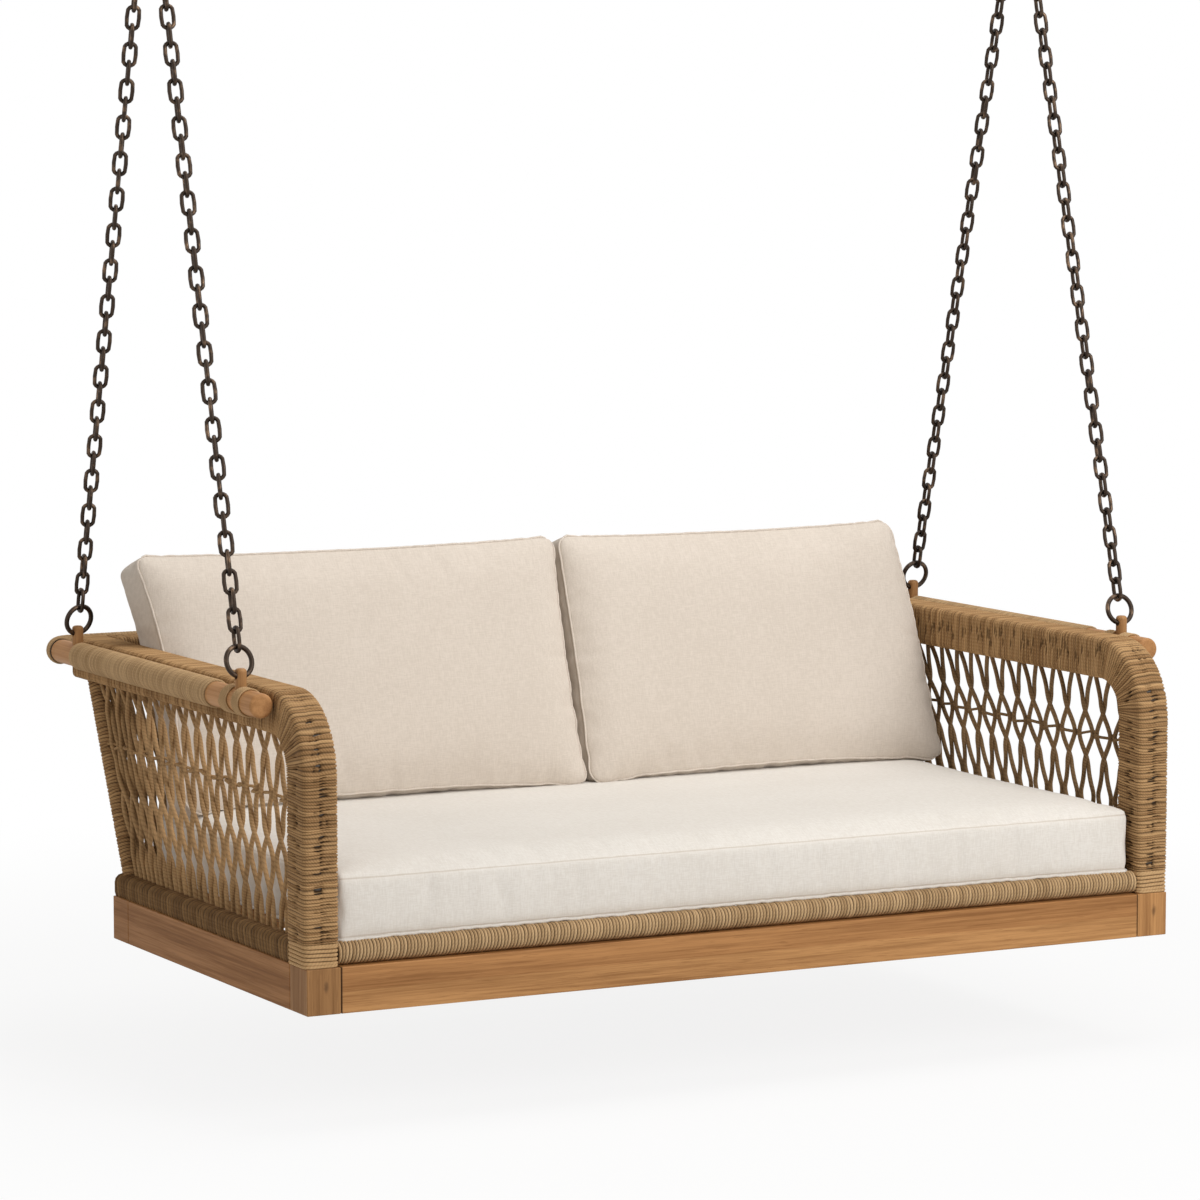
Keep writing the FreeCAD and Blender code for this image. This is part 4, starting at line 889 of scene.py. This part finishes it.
def sewn_cover(name, material, size, corner, draw_in, roll, grid, piped):
    """A boxed cover before it is filled: a grid on all six sides, closer beside the seams, with round
    corners, the sides, the foot and the head drawn in between them and the faces rolled over to the seams."""
    bm = bmesh.new()
    sewn = bm.verts.layers.float.new("sewn")
    bmesh.ops.create_cube(bm, size=1.0)
    bmesh.ops.scale(bm, vec=size, verts=bm.verts)
    for axis, length in enumerate(size):
        runs = [edge for edge in bm.edges if abs((edge.verts[0].co - edge.verts[1].co)[axis]) > length / 2]
        bmesh.ops.subdivide_edges(bm, edges=runs, cuts=round(length / grid) - 1, use_grid_fill=True)
        for end in (-1, 1):
            plane = Vector()
            plane[axis] = end * (length / 2 - seam_row)
            bmesh.ops.bisect_plane(bm, geom=bm.verts[:] + bm.edges[:] + bm.faces[:], plane_co=plane,
                                   plane_no=plane.normalized(), dist=cut_near)
    for vert in bm.verts:
        x, y, z = vert.co
        at_edge = abs(x) > size.x / 2 - near or abs(y) > size.y / 2 - near
        # the stitches lie in a row beside the piping, and on the seam itself on the plain side; painted shade
        # darkens that line
        row = size.z / 2 - (seam_row if z * piped > 0 else 0.0)
        vert[sewn] = 1.0 if at_edge and abs(abs(z) - row) < near else 0.0
        across = max(0.0, (abs(x) - size.x / 2 + corner) / corner)
        along = max(0.0, (abs(y) - size.y / 2 + corner) / corner)
        round_x = corner * across * (1 - sqrt(1 - along * along / 2))
        round_y = corner * along * (1 - sqrt(1 - across * across / 2))
        waist_x = draw_in[0] * (2 * abs(x) / size.x) ** 3 * (1 - (2 * y / size.y) ** 2)
        waist_y = draw_in[1 if y < 0 else 2] * (2 * abs(y) / size.y) ** 3 * (1 - (2 * x / size.x) ** 2)
        if abs(z) > size.z / 2 - near:
            inward = min(1.0, min(size.x / 2 - abs(x), size.y / 2 - abs(y)) / roll_reach)
            vert.co.z += copysign(roll * sqrt(1 - (1 - inward) ** 2), z)
        vert.co.x -= copysign(round_x + waist_x, x)
        vert.co.y -= copysign(round_y + waist_y, y)
    return settle(name, bm, material)


fill_frames, seam_hold = 20, 0.8
LINEN_CLOTH = {"quality": 6, "mass": 0.25, "bending_stiffness": 0.6, "vertex_group_mass": "seam",
               "pin_stiffness": 1.0, "shrink_min": -0.012, "use_pressure": True,
               "uniform_pressure_force": 4.0}


def fill(covers):
    """Blows the covers up as cloth, with the seams held. No point travels further than its cover's caps, one
    for the sides and one for the top."""
    for piece, _ in covers:
        seam = piece.vertex_groups.new(name="seam")
        held = [spot.value for spot in piece.data.attributes["sewn"].data]
        seam.add([number for number, value in enumerate(held) if value > 0.5], seam_hold, "REPLACE")
        cloth = piece.modifiers.new("fill", "CLOTH").settings
        for key, value in LINEN_CLOTH.items():
            setattr(cloth, key, value)
        cloth.effector_weights.gravity = 0.0
    for step in range(1, fill_frames + 1):
        scene.frame_set(step)
    graph = bpy.context.evaluated_depsgraph_get()
    for piece, (side_cap, top_cap) in covers:
        blown = [vert.co.copy() for vert in piece.evaluated_get(graph).data.vertices]
        for vert, place in zip(piece.data.vertices, blown):
            for axis, cap in enumerate((side_cap, side_cap, top_cap)):
                way = place[axis] - vert.co[axis]
                vert.co[axis] += copysign(cap * (1 - exp(-abs(way) / cap)), way)
        piece.modifiers.clear()
        piece.vertex_groups.clear()
    scene.frame_set(1)


pleat_reach, seam_pinch, foot_pleats, pleat_loss = 0.035, 0.0025, 1.7, 1.5
fine_rate, long_rate, slow_rate, slow_shift = 36, 9, 4, 7


def finish_cover(piece, node, size, pucker, place, piped, cord, rests, drift):
    """Flattens a pad where it rests, pinches its seams, puckers the cloth beside them, sets it in its place
    and runs a piping cord along one of its seams."""
    bm = bmesh.new()
    bm.from_mesh(piece.data)
    bm.normal_update()
    sewn = bm.verts.layers.float["sewn"]
    for vert in bm.verts:
        x, y, z = vert.co
        gap = min(size.x / 2 - abs(x), size.y / 2 - abs(y))
        # the small pleats stand square to the seam, and are deepest at the foot
        level = min(1.0, max(0.0, y / size.y + 0.5))
        beside = exp(-max(0.0, gap) / pleat_reach) * (1 - vert[sewn]) * (foot_pleats - pleat_loss * level)
        at_end = size.y / 2 - abs(y) < size.x / 2 - abs(x)
        rate_x, rate_y = (fine_rate, long_rate) if at_end else (long_rate, fine_rate)
        fold = noise.noise(Vector((x * rate_x, y * rate_y, z * long_rate)))
        slow = noise.noise(Vector((x * slow_rate + slow_shift, y * slow_rate, z * slow_rate)))
        vert.co += vert.normal * (pucker * (beside * fold + 0.5 * slow) - seam_pinch * vert[sewn])
        vert.co.x += drift(2 * x / size.x, y / size.y + 0.5)
        if rests:
            vert.co.z = max(vert.co.z, -size.z / 2)
    stitches = [vert for vert in bm.verts if vert[sewn] > 0.5 and vert.co.z * piped > 0]
    seam = [max((edge.other_vert(vert) for edge in vert.link_edges), key=lambda other: other.co.z * piped)
            for vert in stitches]
    seam.sort(key=lambda vert: atan2(vert.co.y / size.y, vert.co.x / size.x))
    bmesh.ops.transform(bm, matrix=place, verts=bm.verts)
    route = [vert.co.copy() for vert in seam + seam[:1]]
    bm.to_mesh(piece.data)
    bm.free()
    smooth = piece.modifiers.new("smooth", "SUBSURF")
    smooth.levels = 1
    smooth.render_levels = 1
    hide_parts(node)
    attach(piece, "seat")
    show(f"{node}_piping", wound(f"{node}_piping_route", route, cord), piece.data.materials[0])


low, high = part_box("seat_cushion")
side_swell, seat_thick, seat_corner, seat_roll, seat_grid = 0.004, 0.112, 0.014, 0.018, 0.014
seat_caps, seat_draw_in, seat_pucker, seat_piping = (0.007, 0.012), (0.002, 0.002, 0.002), 0.0008, 0.0034
back_gap, back_height, back_thick, back_plump, back_corner = 0.004, 0.520, 0.125, 0.026, 0.032
back_roll, back_grid, back_pucker, back_piping = 0.013, 0.011, 0.0040, 0.0022
back_caps, back_draw_in, cushion_lean = (0.008, 0.018), (0.003, 0.014, -0.004), radians(17)
seat_size = Vector((high.x - low.x - 2 * side_swell, high.y - low.y - 2 * side_swell, seat_thick))
back_size = Vector(((high.x - low.x - back_gap) / 2 - 2 * side_swell, back_height - 2 * side_swell,
                    back_thick - back_plump))
seat_cover = sewn_cover("seat_cushion_cover", seat_linen, seat_size, seat_corner, seat_draw_in, seat_roll,
                        seat_grid, -1)
back_covers = {side: sewn_cover(f"{side}_back_cushion_cover", shaded_back_linen, back_size, back_corner,
                                back_draw_in, back_roll, back_grid, 1) for side in SIDES}
fill([(seat_cover, seat_caps)] + [(cover, back_caps) for cover in back_covers.values()])
seat_sink, seat_rise, pad_front, over_arm, pad_shift = 0.001, 0.025, 0.690, 0.045, 0.022
middle = (low + high) / 2
# the seat cushion's lower seam sinks a little into the rope of the front bar
seat_place = Matrix.Translation((middle.x, middle.y, low.z + seat_thick / 2 - seat_sink))
finish_cover(seat_cover, "seat_cushion", seat_size, seat_pucker, seat_place, -1, seat_piping, True,
             lambda u, v: 0.0)
up = Vector((0, sin(cushion_lean), cos(cushion_lean)))
behind = Vector((0, cos(cushion_lean), -sin(cushion_lean)))
for side, sign in SIDES.items():
    pad_low, pad_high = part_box(f"{side}_back_cushion")
    # the lower front seam stands on the crown of the seat cushion
    foot = Vector(((pad_low.x + pad_high.x) / 2, low.y + pad_front, low.z + seat_thick + seat_rise))
    centre = foot + up * (back_height / 2) + behind * (back_thick / 2)
    turned = Matrix.Rotation(pi / 2 - cushion_lean, 4, "X")

    def drift(u, v):
        """The pads lean on each other: the joint sits a little to the right and the tops lean to the left."""
        inner = (1 - sign * u) / 2
        return inner * pad_shift - (1 - inner) * over_arm * max(0.0, v) ** 3

    finish_cover(back_covers[side], f"{side}_back_cushion", back_size, back_pucker,
                 Matrix.Translation(centre) @ turned, 1, back_piping, False, drift)

# Floor, light and camera: a plain pale floor below the hanging seat, a white room, and four soft
# lamps. The camera stands where the photograph was taken from.


def in_sight(tree):
    """1 for what the camera sees, straight or by way of metal and glass."""
    rays = add(tree, "LightPath").outputs
    seen = sum_up(tree, "MAXIMUM", rays["Is Camera Ray"], rays["Is Glossy Ray"])
    return sum_up(tree, "MAXIMUM", seen, rays["Is Transmission Ray"])


floor_drop, floor_half, shadow_reach, white_reach = 0.216, 30.0, 2.3, 4.0
bm = bmesh.new()
bmesh.ops.create_grid(bm, x_segments=1, y_segments=1, size=floor_half)
bmesh.ops.translate(bm, verts=bm.verts, vec=(0, 0, cad_box[0][2] - floor_drop))
pale_floor, tree, shader = new_finish("pale_floor")
supply(tree, shader, Base_Color=(0.8, 0.8, 0.8), Roughness=1.0, Specular_IOR_Level=0.0)
# beyond the object's shadow the floor is as white as the background
away = add(tree, "VectorMath", {"operation": "LENGTH"}, Vector=spots(tree)).outputs["Value"]
white = add(tree, "Emission", Color=(1, 1, 1))
paleness = graded(tree, away, shadow_reach, white_reach, 0.86, 1.0)
mixed = add(tree, "MixShader", Fac=weighed(tree, (in_sight(tree), paleness)))
feed(tree, mixed.inputs[1], shader.outputs[0])
feed(tree, mixed.inputs[2], white.outputs[0])
supply(tree, tree.nodes["Material Output"], Surface=mixed.outputs[0])
settle("floor", bm, pale_floor)

world = bpy.data.worlds.new("studio")
scene.world = world
world.use_nodes = True
tree = world.node_tree
seen = in_sight(tree)
supply(tree, tree.nodes["Background"], Color=tint(tree, seen, (1.0, 0.93, 0.84), (1, 1, 1)),
       Strength=graded(tree, seen, 0.0, 1.0, 0.28, 1.0))

seat_middle = Vector((0, -0.1, -1.9))
# soft square lamps: their size, their power and their place
LAMPS = {"key": (3.0, 190.0, (2.4, -5.6, 1.8)), "front": (4.0, 92.0, (1.2, -6.8, 0.3)),
         "top": (3.0, 100.0, (0.7, -0.4, 2.2)), "left": (1.6, 13.5, (-3.2, 0.0, -0.8))}
for name, (size, power, place) in LAMPS.items():
    light = bpy.data.lights.new(name, "AREA")
    light.size = size
    light.energy = power
    holder = placed(name, light)
    holder.visible_camera = False
    holder.location = place
    holder.rotation_euler = (seat_middle - Vector(place)).to_track_quat("-Z", "Y").to_euler()

camera_data = bpy.data.cameras.new("camera")
camera_data.sensor_width = 36.0
camera_data.lens = 146.24
camera = placed("camera", camera_data)
yaw, pitch = radians(27.7), radians(6.0)
camera.location = (-4.4724, -8.4996, -0.5617)
looking = Vector((sin(yaw) * cos(pitch), cos(yaw) * cos(pitch), -sin(pitch)))
camera.rotation_euler = looking.to_track_quat("-Z", "Y").to_euler()
bpy.context.scene.camera = camera
scene.view_settings.view_transform = "Standard"
